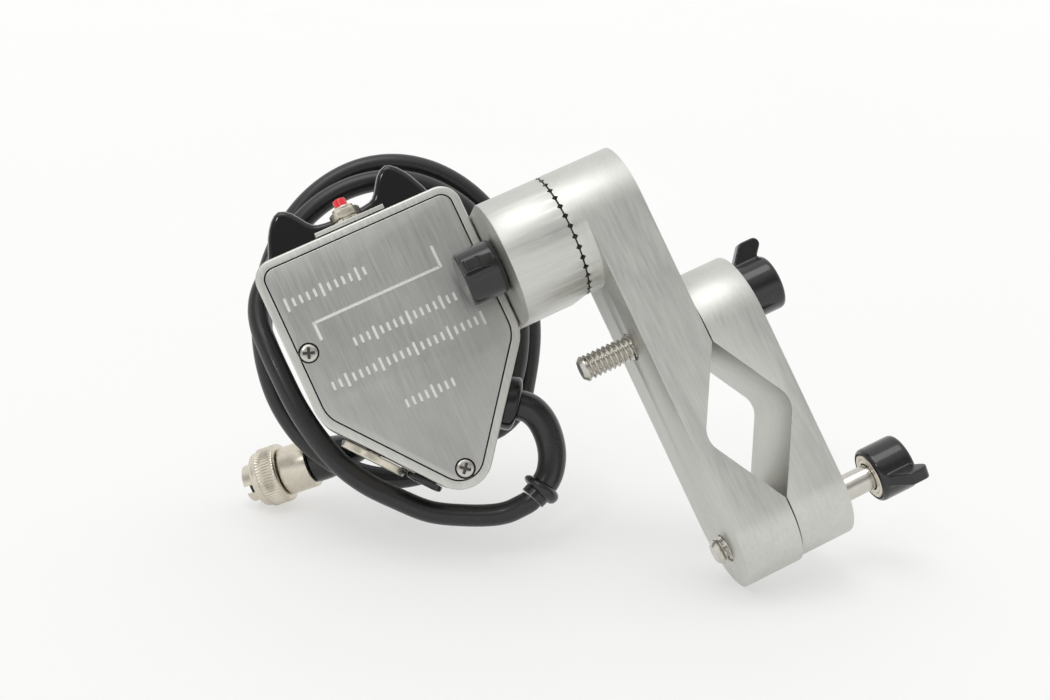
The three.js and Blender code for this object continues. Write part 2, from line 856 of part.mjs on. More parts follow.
function rockerYoke() {
  const ear = stadium(earRadius, 0, -yokeDrop - yokePlate + earRadius);
  const front = prismY(ear, 0, earThickness - fit, pinSides);
  const rear = prismY(ear, yokeRear(), yokeRear() + earThickness, pinSides);
  const plate = block(
    new THREE.Vector3(-earRadius, 0, -yokeDrop - yokePlate),
    new THREE.Vector3(earRadius, headBack - headWall - fit - rockerFront, -yokeDrop),
  );
  const hole = prismY(disc(pinRadius + fit), -overrun, yokeRear() + earThickness + overrun, screwSides);
  return piece('rocker_yoke', cut(join(front, rear, plate), hole), springSteel);
}

function zoomPotentiometer() {
  const from = yokeRear() + earThickness + fit;
  const outline = roundedShape([
    new THREE.Vector2(-zoomPotHalfWidth, -zoomPotDrop),
    new THREE.Vector2(zoomPotHalfWidth, -zoomPotDrop),
    new THREE.Vector2(zoomPotHalfWidth, zoomPotRise),
    new THREE.Vector2(-zoomPotHalfWidth, zoomPotRise),
  ], [pinRadius, pinRadius, pinRadius, pinRadius]);
  return piece('zoom_potentiometer', prismY(outline, from, from + zoomPotThickness), satinBlack);
}

function rockerGroup() {
  const group = new THREE.Group();
  group.add(zoomRocker(), rockerPin(), rockerSpring(), rockerYoke(), zoomPotentiometer());
  group.position.set(headCentreX, rockerFront, headTop - rockerPivotDrop);
  return group;
}

// Record button; its group's origin is on its axis, in the plane of the housing's top

function buttonGroup() {
  const plateTop = fit + buttonPlateHeight;
  const washerTop = plateTop + fit + washerThickness;
  const nutTop = washerTop + fit + nutHeight;
  const plateFront = headFront + buttonPlateSetBack - buttonDepth;
  const plate = cut(
    block(
      new THREE.Vector3(-buttonPlateHalfWidth, plateFront, fit),
      new THREE.Vector3(buttonPlateHalfWidth, plateFront + buttonPlateDepth, plateTop),
    ),
    rod(bushingRadius + fit, -overrun, plateTop + overrun),
  );
  const teeth = [];
  for (let i = 0; i < washerTeeth; i += 1) {
    const angle = (2 * Math.PI * i) / washerTeeth;
    const notchCut = rod(washerNotchRadius, -overrun, plateTop + washerTop, 4);
    teeth.push(moved(notchCut, washerRadius * Math.cos(angle), washerRadius * Math.sin(angle), 0));
  }
  const washer = cut(tube(washerRadius, bushingRadius + fit, plateTop + fit, washerTop), ...teeth);
  const nut = hexNut(nutFlats, bushingRadius + fit, washerTop + fit, nutTop);
  const bushing = tube(bushingRadius, bushingBore, -bushingDrop, bushingStandOut, discSides);
  const flangeTop = -bushingDrop - fit;
  const button = join(
    rod(capRadius, flangeTop - stemFlange / 2, capStandOut, knobSides),
    rod(bushingRadius, flangeTop - stemFlange, flangeTop, knobSides),
  );
  const switchTop = flangeTop - stemFlange - buttonTravel - fit;
  const half = switchSide / 2;
  const body = block(
    new THREE.Vector3(-half, -half, switchTop - switchHeight), new THREE.Vector3(half, half, switchTop),
  );
  const group = new THREE.Group();
  group.add(
    piece('button_plate', plate, machinedAluminium),
    piece('button_washer', washer, nickel),
    piece('button_nut', nut, nickel),
    piece('button_bushing', bushing, nickel),
    piece('record_button', button, redPlastic),
    piece('button_switch', body, satinBlack),
  );
  group.position.set(headCentreX, buttonDepth, headTop);
  return group;
}

// Speed dial, rubber plug and cable gland; each group's z points out of its wall

function wallGroup(frame, ...pieces) {
  const group = new THREE.Group();
  group.add(...pieces);
  group.position.copy(frame.point);
  group.quaternion.setFromUnitVectors(up, frame.outward);
  return group;
}

function dialGroup() {
  const top = dialStandOff + dialThickness;
  const dial = turned([
    [0, dialStandOff - dialShaftLength], [dialShaftRadius, dialStandOff - dialShaftLength],
    [dialShaftRadius, dialStandOff], [dialRadius - dialEdgeRadius, dialStandOff],
    [dialRadius, dialStandOff + dialEdgeRadius], [dialRadius, top - dialEdgeRadius],
    [dialRadius - dialEdgeRadius, top], [0, top],
  ], discSides);
  const potTop = -headWall - fit;
  const pot = cut(
    join(
      rod(dialPotRadius, potTop - dialPotThickness, potTop),
      rod(dialBushingRadius, potTop - fit, dialBushingStandOut),
    ),
    rod(dialShaftRadius + fit, dialStandOff - dialShaftLength - fit, dialStandOff + overrun, knobSides),
  );
  return wallGroup(
    dialFrame, piece('speed_dial', dial, nickel), piece('speed_potentiometer', pot, satinBlack),
  );
}

function plugGroup() {
  const barbTop = -headWall - fit;
  const plug = turned([
    [0, barbTop - plugBarbThickness], [plugStemRadius, barbTop - plugBarbThickness],
    [plugBarbRadius, barbTop - fit], [plugBarbRadius, barbTop], [plugStemRadius, barbTop],
    [plugStemRadius, fit], [plugRadius, fit], [plugRadius, plugHeight - fit],
    [plugRadius - 2 * fit, plugHeight + fit], [0, plugHeight + fit],
  ], rodSides);
  return wallGroup(plugFrame, piece('rubber_plug', plug, rubberBlack));
}

function glandGroup() {
  const nutTop = -headWall - fit;
  const top = fit + collarHeight;
  const collar = turned([
    [0, nutTop - glandNutThickness - fit], [glandStemRadius, nutTop - glandNutThickness - fit],
    [glandStemRadius, fit], [collarRadius, fit], [collarRadius, top - collarEdgeRadius],
    [collarRadius - collarEdgeRadius * (1 - Math.SQRT1_2), top - collarEdgeRadius * (1 - Math.SQRT1_2)],
    [collarRadius - collarEdgeRadius, top], [0, top],
  ], knobSides);
  const nut = hexNut(glandNutFlats, glandStemRadius + fit, nutTop - glandNutThickness, nutTop);
  return wallGroup(
    glandFrame, piece('gland_collar', collar, glossBlack), piece('gland_nut', nut, nickel),
  );
}

// Strain relief boot: a bent tapering tube with a bead at its end
// Its middle line from the collar: out of the wall, and down along the wall
const bootRoute = [
  [0, 0], [0.8, 0], [3.2, 0.4], [6.2, 2.3], [9.1, 6], [10.9, 10.4], [11.2, 15], [9.9, 19], [8.4, 21.6],
];

function bootCurve() {
  const start = glandFrame.point.clone().addScaledVector(glandFrame.outward, 2 * fit + collarHeight);
  return new THREE.CatmullRomCurve3(bootRoute.map(([out, down]) => (
    start.clone().addScaledVector(glandFrame.outward, out).addScaledVector(glandFrame.down, down)
  )));
}

function bootRadius(distance, length) {
  const taper = THREE.MathUtils.lerp(bootStartRadius, bootEndRadius, distance / length);
  const fromBead = Math.abs(distance - (length - beadStart));
  if (fromBead > beadHalfLength) return taper;
  return taper + (beadRadius - taper) * Math.sqrt(1 - (fromBead / beadHalfLength) ** 2);
}

// A tube of rings along a curve whose radius follows the way along it
function sweptTube(curve, rings, sides, radiusAt) {
  const length = curve.getLength();
  const frames = curve.computeFrenetFrames(rings, false);
  const positions = [];
  for (let i = 0; i <= rings; i += 1) {
    const centre = curve.getPointAt(i / rings);
    const radius = radiusAt((length * i) / rings, length);
    for (let k = 0; k < sides; k += 1) {
      const angle = (2 * Math.PI * k) / sides;
      const point = centre.clone()
        .addScaledVector(frames.normals[i], radius * Math.cos(angle))
        .addScaledVector(frames.binormals[i], radius * Math.sin(angle));
      positions.push(point.x, point.y, point.z);
    }
  }
  const index = [];
  for (let i = 0; i < rings; i += 1) {
    for (let k = 0; k < sides; k += 1) {
      const next = (k + 1) % sides;
      const [a, b] = [i * sides + k, i * sides + next];
      index.push(a, b, a + sides, b, b + sides, a + sides);
    }
  }
  const last = rings * sides;
  for (let k = 1; k < sides - 1; k += 1) {
    index.push(0, k + 1, k, last, last + k, last + k + 1);
  }
  const geometry = new THREE.BufferGeometry();
  geometry.setAttribute('position', new THREE.BufferAttribute(new Float32Array(positions), 3));
  geometry.setIndex(index);
  return solid(geometry);
}

function strainReliefBoot() {
  return piece('strain_relief_boot', sweptTube(bootCurve(), bootRings, bootSides, bootRadius), rubberBlack);
}

// Circuit board and its screws

function circuitBoard() {
  const [left, right] = [headCentreX - boardHalfWidth, headCentreX + boardHalfWidth];
  const outline = new THREE.Shape([
    new THREE.Vector2(left, boardTop),
    new THREE.Vector2(left, boardBottom + boardCornerCut),
    new THREE.Vector2(left + boardCornerCut, boardBottom),
    new THREE.Vector2(right - boardCornerCut, boardBottom),
    new THREE.Vector2(right, boardBottom + boardCornerCut),
    new THREE.Vector2(right, boardTop),
  ]);
  const holes = boardScrewPlaces().map(([x, z]) => (
    backwards(rod(boardScrewRadius + fit, -overrun, boardThickness + overrun, screwSides), x, boardFront, z)
  ));
  const plate = cut(prismY(outline, boardFront, boardFront + boardThickness), ...holes);
  return piece('circuit_board', plate, boardGreen);
}

function boardScrews() {
  const screws = boardScrewPlaces().map(([x, z]) => {
    const head = rod(boardScrewHeadRadius, -fit - boardScrewHeadHeight, -fit, screwSides);
    const reach = headBack - headWall - boardFront - 2 * fit;
    const shank = rod(boardScrewRadius, -fit - boardScrewHeadHeight / 2, reach - fit, screwSides);
    return backwards(join(head, shank), x, boardFront, z);
  });
  return numbered('board_screw', screws, stainless);
}

// Cable: x, how far below the hub, and depth of each point

const leadRoute = [
  [-18.2, 54.4, 20.3], [-21.2, 54.4, 21.1], [-24.6, 53.6, 21.9], [-31.3, 50.6, 23.5], [-38.5, 46.2, 25],
  [-44.6, 39.7, 26], [-49.9, 33, 27], [-53.7, 25.6, 28.2], [-56, 17.5, 29.6], [-57.3, 8.5, 31],
  [-57.6, 0, 32.8], [-57.6, -8, 35], [-57.2, -14, 37.2], [-55.7, -19, 38.8], [-53, -23, 39.7],
];
const tailRoute = [
  [-4, 32, 49.7], [-10.5, 34.9, 49.3], [-17.5, 34.6, 48.6], [-24, 31.9, 47.9], [-30.5, 28.9, 47.6],
  [-37, 26.6, 48.4], [-42, 25.2, 49.6],
];

function cablePoint([x, drop, depth]) {
  return new THREE.Vector3(x, depth, -drop);
}

function coilPoint(angle) {
  const turns = (angle - coilStartAngle) / (2 * Math.PI);
  const depth = coilStartDepth + coilSetBack * turns ** coilSetBackPower;
  const stations = coilReachShares.map((share, i) => new THREE.Vector2(i, share));
  const way = (angle - coilStartAngle) / (coilEndAngle - coilStartAngle);
  const share = new THREE.SplineCurve(stations).getPoint(way).y;
  const across = share * coilHalfWidth * Math.cos(angle);
  const along = share * coilHalfHeight * Math.sin(angle);
  const back = depth - coilCentreStart;
  const x = coilCentreX + coilDriftX * back + across * Math.cos(coilLean) - along * Math.sin(coilLean);
  const drop = coilCentreDrop + coilDriftDrop * back + across * Math.sin(coilLean) + along * Math.cos(coilLean);
  return cablePoint([x, drop, depth]);
}

function coilPoints() {
  const steps = Math.round(coilStepsPerTurn * (coilEndAngle - coilStartAngle) / (2 * Math.PI));
  const points = [];
  for (let i = 0; i <= steps; i += 1) {
    points.push(coilPoint(THREE.MathUtils.lerp(coilStartAngle, coilEndAngle, i / steps)));
  }
  return points;
}

// Two points just off a place, one a fit away and one a little further, so that a tube starts square to it
function square(place, direction, way) {
  const first = place.clone().addScaledVector(direction, fit);
  const second = place.clone().addScaledVector(direction, fit + way);
  return [first, second];
}

function leadCurve(coil) {
  const boot = bootCurve();
  const out = boot.getTangentAt(1);
  const intoCoil = coil[0].clone().sub(coil[1]).normalize();
  const [lastPoint, before] = square(coil[0], intoCoil, cableRadius / 2);
  return new THREE.CatmullRomCurve3([
    ...square(boot.getPointAt(1), out, cableRadius / 4), ...leadRoute.map(cablePoint), before, lastPoint,
  ]);
}

function tailCurve(coil) {
  const end = coil[coil.length - 1];
  const out = end.clone().sub(coil[coil.length - 2]).normalize();
  const sleeveEnd = connectorPlace.clone().addScaledVector(connectorAim, sleeveBack());
  const [lastPoint, before] = square(sleeveEnd, connectorAim, cableRadius);
  return new THREE.CatmullRomCurve3([
    ...square(end, out, cableRadius / 2), ...tailRoute.map(cablePoint), before, lastPoint,
  ]);
}

function round(curve, steps, sides) {
  return sweptTube(curve, steps, sides, () => cableRadius);
}

function leastCoilGap(points) {
  const apart = coilStepsPerTurn / 2;
  let least = Infinity;
  points.forEach((point, i) => {
    for (let k = i + apart; k < points.length; k += 1) {
      least = Math.min(least, point.distanceTo(points[k]) - cableDiameter);
    }
  });
  return least;
}

function cables() {
  const coil = coilPoints();
  console.log(`Least gap of the coil to itself: ${leastCoilGap(coil).toFixed(2)} mm`);
  const [lead, tail] = [leadCurve(coil), tailCurve(coil)];
  const winding = new THREE.CatmullRomCurve3(coil);
  const length = lead.getLength() + winding.getLength() + tail.getLength();
  console.log(`Cable length from boot to connector: ${length.toFixed(0)} mm`);
  return [
    piece('cable_lead', round(lead, leadSteps, tubeSides), cableBlack),
    piece('cable_coil', round(winding, coil.length - 1, coilSides), cableBlack),
    piece('cable_tail', round(tail, tailSteps, tubeSides), cableBlack),
  ];
}

// Connector; its group's z runs from the coupling ring's front towards the cable

function barrelFront() {
  return ringLength + fit;
}

function sleeveBack() {
  return barrelFront() + barrelLength + fit + sleeveLength;
}

function connectorShell() {
  const end = barrelFront() - fit;
  const tip = -shellNose;
  const shape = turned([
    [shellRadius - shellWall, tip], [shellRadius - fit, tip], [shellRadius, tip + fit], [shellRadius, end - fit],
    [shellTailRadius, end - fit], [shellTailRadius, end + shellTailLength],
    [shellRadius - shellWall - fit, end + shellTailLength], [shellRadius - shellWall - fit, end],
    [shellRadius - shellWall, end], [shellRadius - shellWall, tip],
  ], knobSides);
  const keyway = block(
    new THREE.Vector3(-keywayWidth / 2, -shellRadius - overrun, tip - overrun),
    new THREE.Vector3(keywayWidth / 2, -shellRadius + 2 * shellWall, tip + keywayLength),
  );
  return cut(shape, keyway);
}

function couplingRing() {
  const inner = shellRadius + fit;
  return turned([
    [inner, 0], [ringCollarRadius - ringChamfer, 0], [ringCollarRadius, ringChamfer],
    [ringCollarRadius, ringCollarLength], [ringRadius, ringCollarLength + ringRadius - ringCollarRadius],
    [ringRadius, ringLength - fit], [ringRadius - fit, ringLength], [inner, ringLength], [inner, 0],
  ], discSides);
}

function connectorBarrel() {
  const front = barrelFront();
  const back = front + barrelLength;
  const seat = shellTailRadius + fit;
  return turned([
    [seat, front], [barrelRadius - barrelChamfer, front], [barrelRadius, front + barrelChamfer],
    [barrelRadius, back - barrelChamfer], [barrelRadius - barrelChamfer, back], [seat, back], [seat, front],
  ], knobSides);
}

function contacts(radius, from, to) {
  const pins = [];
  for (let i = 0; i < pinCount; i += 1) {
    const angle = (2 * Math.PI * i) / pinCount;
    const pin = rod(radius, from, to, pinSides);
    pins.push(moved(pin, contactCircle * Math.cos(angle), contactCircle * Math.sin(angle), 0));
  }
  return pins;
}

function connectorSleeve() {
  const front = barrelFront() + barrelLength + fit;
  return turned([
    [0, front - sleeveSpigotLength], [sleeveSpigotRadius, front - sleeveSpigotLength],
    [sleeveSpigotRadius, front], [sleeveRadius, front], [sleeveRadius, front + sleeveLength / 3],
    [(sleeveRadius + sleeveEndRadius) / 2, front + sleeveLength * 2 / 3],
    [sleeveEndRadius, front + sleeveLength - fit], [sleeveEndRadius - fit, front + sleeveLength],
    [0, front + sleeveLength],
  ], knobSides);
}

function connectorGroup() {
  const faceAt = insertRecess - shellNose;
  const insert = cut(
    rod(shellRadius - shellWall - fit, faceAt, faceAt + insertLength, knobSides),
    ...contacts(contactRadius + fit, faceAt - overrun, faceAt + insertLength + overrun),
  );
  const pins = contacts(contactRadius, faceAt - contactStandOut, faceAt + insertLength + fit);
  const group = new THREE.Group();
  group.add(
    piece('coupling_ring', couplingRing(), nickel),
    piece('connector_shell', connectorShell(), nickel),
    piece('connector_barrel', connectorBarrel(), nickel),
    piece('connector_insert', insert, satinBlack),
    ...numbered('connector_pin', pins, nickel),
    piece('connector_sleeve', connectorSleeve(), rubberBlack),
  );
  group.quaternion.setFromUnitVectors(up, connectorAim);
  group.position.copy(connectorPlace);
  return group;
}

// The whole object, leaned and stood on its lowest point

const ownPieces = new THREE.Group();
ownPieces.add(
  clampFrontJaw(), clampRearJaw(), ...knobs(), swivelBracket(), ...bracketScrews(),
  headHousing(), frontPanel(), ...panelScrews(), rockerGroup(), buttonGroup(), dialGroup(), plugGroup(),
  glandGroup(), strainReliefBoot(), circuitBoard(), ...boardScrews(),
);
const cordPieces = new THREE.Group();
cordPieces.add(...cables(), connectorGroup());

const leaned = new THREE.Group();
leaned.rotation.set(leanRoll, leanRaise, leanTurn, 'ZYX');
leaned.add(ownPieces, cordPieces);

const lensController = new THREE.Group();
lensController.add(leaned);
lensController.updateMatrixWorld(true);
const box = new THREE.Box3().setFromObject(ownPieces, true);
leaned.position.set(-(box.min.x + box.max.x) / 2, -(box.min.y + box.max.y) / 2, -box.min.z);

export default lensController;
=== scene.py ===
"""Lens controller: the finish of every surface, the cable at its real length, and the studio."""

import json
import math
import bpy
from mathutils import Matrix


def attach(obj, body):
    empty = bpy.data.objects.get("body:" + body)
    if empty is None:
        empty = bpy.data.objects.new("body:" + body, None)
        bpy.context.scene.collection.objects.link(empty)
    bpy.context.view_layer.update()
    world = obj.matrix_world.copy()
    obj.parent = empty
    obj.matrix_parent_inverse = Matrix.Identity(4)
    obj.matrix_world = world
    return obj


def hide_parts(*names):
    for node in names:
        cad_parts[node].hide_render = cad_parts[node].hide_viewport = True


bl_info = {
    "name": "Lens controller",
    "version": (1, 0, 0),
    "blender": (4, 5, 0),
    "location": "View3D > Sidebar > Lens controller",
    "description": "Dresses the packed lens controller: metal, plastic, cable, connector and studio",
    "category": "Add Mesh",
}

import bmesh
import bpy
from bpy.props import FloatProperty, FloatVectorProperty, IntProperty, PointerProperty
from mathutils import Matrix, Vector

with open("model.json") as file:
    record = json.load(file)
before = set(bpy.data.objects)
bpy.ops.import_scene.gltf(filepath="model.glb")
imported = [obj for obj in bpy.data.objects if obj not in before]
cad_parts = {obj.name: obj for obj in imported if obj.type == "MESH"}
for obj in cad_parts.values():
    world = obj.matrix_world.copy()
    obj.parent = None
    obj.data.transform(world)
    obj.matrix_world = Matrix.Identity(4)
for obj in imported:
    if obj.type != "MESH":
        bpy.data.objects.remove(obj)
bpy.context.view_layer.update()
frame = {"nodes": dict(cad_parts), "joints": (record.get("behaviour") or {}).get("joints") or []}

MM = 0.001


# Where things are: the upright layout of the control head, in millimetres, and how it leans

def joint_named(name):
    return next(one for one in frame["joints"] if one["name"] == name)


def axis_of(name):
    return Vector(joint_named(name)["axis"]).normalized()


SWIVEL_PLANE = 15.5
ALONG_HUB = axis_of("head_swivel")
AWAY_FROM_PANEL = axis_of("zoom_rocker_tilt")
UP_THE_HEAD = -axis_of("record_button_press")
HUB = Vector(joint_named("head_swivel")["pos_m"]) - ALONG_HUB * SWIVEL_PLANE * MM
LEAN = Matrix((ALONG_HUB, AWAY_FROM_PANEL, UP_THE_HEAD)).transposed()
STAND = Matrix.Translation(HUB) @ LEAN.to_4x4() @ Matrix.Scale(MM, 4)


# Sizes shared by several pieces, in millimetres

FIT = 0.3
ARM_RADIUS = 14.9
HEAD_CENTRE_X = -27.1
HEAD_WIDTH = 53.0
HEAD_TOP = 24.6
HEAD_SHOULDER_DROP = 15.8
HEAD_TIP_DROP = 49.6
HEAD_FRONT = 10.2
HEAD_DEPTH = 26.0
HEAD_WALL = 2.0
TOP_CORNER_RADIUS = 5.0
SHOULDER_CORNER_RADIUS = 10.0
TIP_CORNER_RADIUS = 8.0
PANEL_THICKNESS = 2.0
PANEL_SCREW_HEIGHT = 0.5
PANEL_SCREW_INSET = 2.25
PANEL_SCREW_WALL_DISTANCE = 6.0
SIDE_FEATURE_DEPTH = 19.5
HEAD_BACK = HEAD_FRONT + HEAD_DEPTH


# Node trees

# Places of a Mix node's colour sockets
MIX_FACTOR = 0
MIX_FIRST = 6
MIX_SECOND = 7
MIX_RESULT = 2


class Wire:
    """What comes out of a node. Sums on it add Math nodes."""

    def __init__(self, tree, socket):
        self.tree = tree
        self.socket = socket

    def __add__(self, other):
        return self.tree.math("ADD", self, other)

    def __radd__(self, other):
        return self.tree.math("ADD", other, self)

    def __sub__(self, other):
        return self.tree.math("SUBTRACT", self, other)

    def __rsub__(self, other):
        return self.tree.math("SUBTRACT", other, self)

    def __mul__(self, other):
        return self.tree.math("MULTIPLY", self, other)

    def __rmul__(self, other):
        return self.tree.math("MULTIPLY", other, self)

    def __truediv__(self, other):
        return self.tree.math("DIVIDE", self, other)

    def __gt__(self, other):
        return self.tree.math("GREATER_THAN", self, other)

    def __lt__(self, other):
        return self.tree.math("LESS_THAN", self, other)


class Tree:
    """A node tree with one way to add a node: its type, its settings, then its sockets."""

    def __init__(self, node_tree):
        self.node_tree = node_tree

    def node(self, kind, settings=None, sockets=None, output=0):
        made = self.node_tree.nodes.new(kind)
        for name, value in (settings or {}).items():
            if name == "stops":
                self._set_stops(made.color_ramp, value)
            else:
                setattr(made, name, value)
        for key, value in (sockets or {}).items():
            if isinstance(value, Wire):
                self.node_tree.links.new(value.socket, made.inputs[key])
            else:
                made.inputs[key].default_value = value
        return None if output is None else Wire(self, made.outputs[output])

    def _set_stops(self, ramp, stops):
        while len(ramp.elements) < len(stops):
            ramp.elements.new(1.0)
        for element, (position, shade) in zip(ramp.elements, stops):
            element.position = position
            element.color = (shade, shade, shade, 1.0)

    def math(self, operation, first, second=0.0):
        return self.node("ShaderNodeMath", {"operation": operation}, {0: first, 1: second})

    def axes(self, vector):
        """The x, y and z of a vector."""
        first = self.node("ShaderNodeSeparateXYZ", None, {"Vector": vector})
        return [Wire(self, socket) for socket in first.socket.node.outputs]

    def spread(self, value, low, high, from_low=0.0, from_high=1.0, easing="LINEAR"):
        limits = {"Value": value, "From Min": from_low, "From Max": from_high, "To Min": low, "To Max": high}
        return self.node("ShaderNodeMapRange", {"clamp": True, "interpolation_type": easing}, limits)


class Finish(Tree):
    """One material, whose patterns are laid out on the upright head in millimetres."""

    def __init__(self, name):
        self.material = bpy.data.materials.new(name)
        self.material.use_nodes = True
        self.material.node_tree.nodes.clear()
        super().__init__(self.material.node_tree)

    def upright(self, stretch=(1.0, 1.0, 1.0)):
        """Millimetres of the upright layout, each axis times its own stretch."""
        here = self.node("ShaderNodeTexCoord", output="Object")
        turned = self.node(
            "ShaderNodeMapping", {"vector_type": "TEXTURE"},
            {"Vector": here, "Location": HUB, "Rotation": LEAN.to_euler("XYZ"), "Scale": (MM, MM, MM)},
        )
        return self.node("ShaderNodeVectorMath", {"operation": "MULTIPLY"}, {0: turned, 1: stretch})

    def noise(self, place, scale=1.0, detail=3.0, roughness=0.55):
        sizes = {"Vector": place, "Scale": scale, "Detail": detail, "Roughness": roughness}
        return self.node("ShaderNodeTexNoise", None, sizes)

    def mix(self, amount, first, second):
        sockets = {MIX_FACTOR: amount, MIX_FIRST: first, MIX_SECOND: second}
        return self.node("ShaderNodeMix", {"data_type": "RGBA"}, sockets, MIX_RESULT)

    def bump(self, height, strength, distance):
        sizes = {"Height": height, "Strength": strength, "Distance": distance * MM}
        return self.node("ShaderNodeBump", None, sizes)

    def surface(self, sockets):
        shader = self.node("ShaderNodeBsdfPrincipled", None, sockets)
        self.node("ShaderNodeOutputMaterial", None, {"Surface": shader}, output=None)


class Growth(Tree):
    """One geometry tree with named inputs, ending in real geometry with its finish."""

    def __init__(self, name, inputs):
        tree = bpy.data.node_groups.new(name, "GeometryNodeTree")
        super().__init__(tree)
        for label, kind in [("Geometry", "Geometry"), *inputs, ("Finish", "Material")]:
            tree.interface.new_socket(label, in_out="INPUT", socket_type=f"NodeSocket{kind}")
        tree.interface.new_socket("Geometry", in_out="OUTPUT", socket_type="NodeSocketGeometry")
        self.start = tree.nodes.new("NodeGroupInput")

    def given(self, label):
        return Wire(self, self.start.outputs[label])

    def end(self, geometry):
        real = self.node("GeometryNodeRealizeInstances", None, {0: geometry})
        look = self.given("Finish")
        dressed = self.node("GeometryNodeSetMaterial", None, {"Geometry": real, "Material": look})
        self.node("NodeGroupOutput", None, {"Geometry": dressed}, output=None)
        return self.node_tree


def tube_tree():
    tree = Growth("Tube along a line", [("Sides", "Int")])
    line = tree.node("GeometryNodeMeshToCurve", None, {"Mesh": tree.given("Geometry")})
    reach = tree.node("GeometryNodeInputNamedAttribute", {"data_type": "FLOAT"}, {"Name": "reach"})
    section = {"Resolution": tree.given("Sides"), "Radius": 1.0}
    ring = tree.node("GeometryNodeCurvePrimitiveCircle", None, section)
    sweep = {"Curve": line, "Profile Curve": ring, "Fill Caps": True, "Scale": reach}
    return tree.end(tree.node("GeometryNodeCurveToMesh", None, sweep))


def grooves_tree():
    """Draws the surface of a turned piece inwards, in grooves round it or along it."""
    labels = ("Grooves around", "Grooves per length", "Depth", "From", "To", "Least radius")
    tree = Growth("Grooves round z", [(label, "Float") for label in labels])
    around, per_length, depth, start, end, least = (tree.given(label) for label in labels)
    x, y, z = tree.axes(tree.node("GeometryNodeInputPosition"))
    radius = tree.math("SQRT", x * x + y * y)
    turn = tree.math("ARCTAN2", y, x) / (2 * math.pi)
    wave = tree.math("ABSOLUTE", tree.math("FRACT", turn * around + z * per_length) * 2.0 - 1.0)
    inside = (z > start) * (z < end) * (radius > least)
    share = 1.0 - wave * depth * inside / tree.math("MAXIMUM", radius, 1e-6)
    place = tree.node("ShaderNodeCombineXYZ", None, {"X": x * share, "Y": y * share, "Z": z})
    shaped = {"Geometry": tree.given("Geometry"), "Position": place}
    return tree.end(tree.node("GeometryNodeSetPosition", None, shaped))


def set_out_tree():
    """Sets a piece out at points, each turned by its own angle."""
    tree = Growth("Piece at places", [("Piece", "Object")])
    piece = tree.node("GeometryNodeObjectInfo", None, {"Object": tree.given("Piece")}, output="Geometry")
    turn = tree.node("GeometryNodeInputNamedAttribute", {"data_type": "FLOAT"}, {"Name": "turn"})
    about = tree.node("ShaderNodeCombineXYZ", None, {"Z": turn})
    points = {"Points": tree.given("Geometry"), "Instance": piece, "Rotation": about}
    return tree.end(tree.node("GeometryNodeInstanceOnPoints", None, points))


def ruled_tree():
    """Short marks at even steps along each line, every fifth longer, drawn as thin bars."""
    tree = Growth("Ruled scale", [("Step", "Float"), ("Mark", "Vector"), ("Long mark", "Float")])
    line = tree.node("GeometryNodeMeshToCurve", None, {"Mesh": tree.given("Geometry")})
    even = {"Curve": line, "Length": tree.given("Step")}
    points = tree.node("GeometryNodeCurveToPoints", {"mode": "LENGTH"}, even)
    bar = tree.node("GeometryNodeMeshCube", None, {"Size": tree.given("Mark")})
    fifth = tree.math("LESS_THAN", tree.math("MODULO", tree.node("GeometryNodeInputIndex"), 5.0), 0.5)
    tall = fifth * (tree.given("Long mark") - 1.0) + 1.0
    size = tree.node("ShaderNodeCombineXYZ", None, {"X": 1.0, "Y": 1.0, "Z": tall})
    marks = {"Points": points, "Instance": bar, "Scale": size}
    return tree.end(tree.node("GeometryNodeInstanceOnPoints", None, marks))


# Objects and their meshes

def linked(name, data):
    """A new object in the scene."""
    obj = bpy.data.objects.new(name, data)
    bpy.context.scene.collection.objects.link(obj)
    return obj


def loose(name, shape):
    """A plain object from a shape, in the shape's own place."""
    mesh = bpy.data.meshes.new(name)
    shape.to_mesh(mesh)
    return linked(name, mesh)


def bare(name, points, edges=(), measure="", values=()):
    """An object of bare points and edges, with one measure for each point."""
    mesh = bpy.data.meshes.new(name)
    mesh.from_pydata(points, edges, [])
    if measure:
        mesh.attributes.new(measure, "FLOAT", "POINT").data.foreach_set("value", values)
    return linked(name, mesh)


def evaluated(obj):
    graph = bpy.context.evaluated_depsgraph_get()
    return bpy.data.meshes.new_from_object(obj.evaluated_get(graph), depsgraph=graph)


def grown(obj, tree, values):
    """Runs a geometry tree on an object and keeps the result as its plain mesh."""
    modifier = obj.modifiers.new(tree.name, "NODES")
    modifier.node_group = tree
    for item in tree.interface.items_tree:
        if item.in_out == "INPUT" and item.name in values:
            modifier[item.identifier] = values[item.name]
    mesh = evaluated(obj)
    obj.modifiers.clear()
    obj.data = mesh
    return obj


# Shapes, in millimetres

CORNER_STEPS = 12


def rounded(corners, radii, steps=None):
    """A closed outline through corner points, each corner rounded by its own radius in its own steps."""
    points = []
    for i, (corner, radius) in enumerate(zip(corners, radii)):
        count = steps[i] if steps else CORNER_STEPS
        corner = Vector(corner)
        before = (Vector(corners[i - 1]) - corner).normalized()
        after = (Vector(corners[(i + 1) % len(corners)]) - corner).normalized()
        half = before.angle(after) / 2
        centre = corner + (before + after).normalized() * radius / math.sin(half)
        start = corner + before * radius / math.tan(half) - centre
        end = corner + after * radius / math.tan(half) - centre
        sweep = math.atan2(start.x * end.y - start.y * end.x, start.dot(end))
        for k in range(count + 1):
            points.append(Matrix.Rotation(sweep * k / count, 2) @ start + centre)
    return points


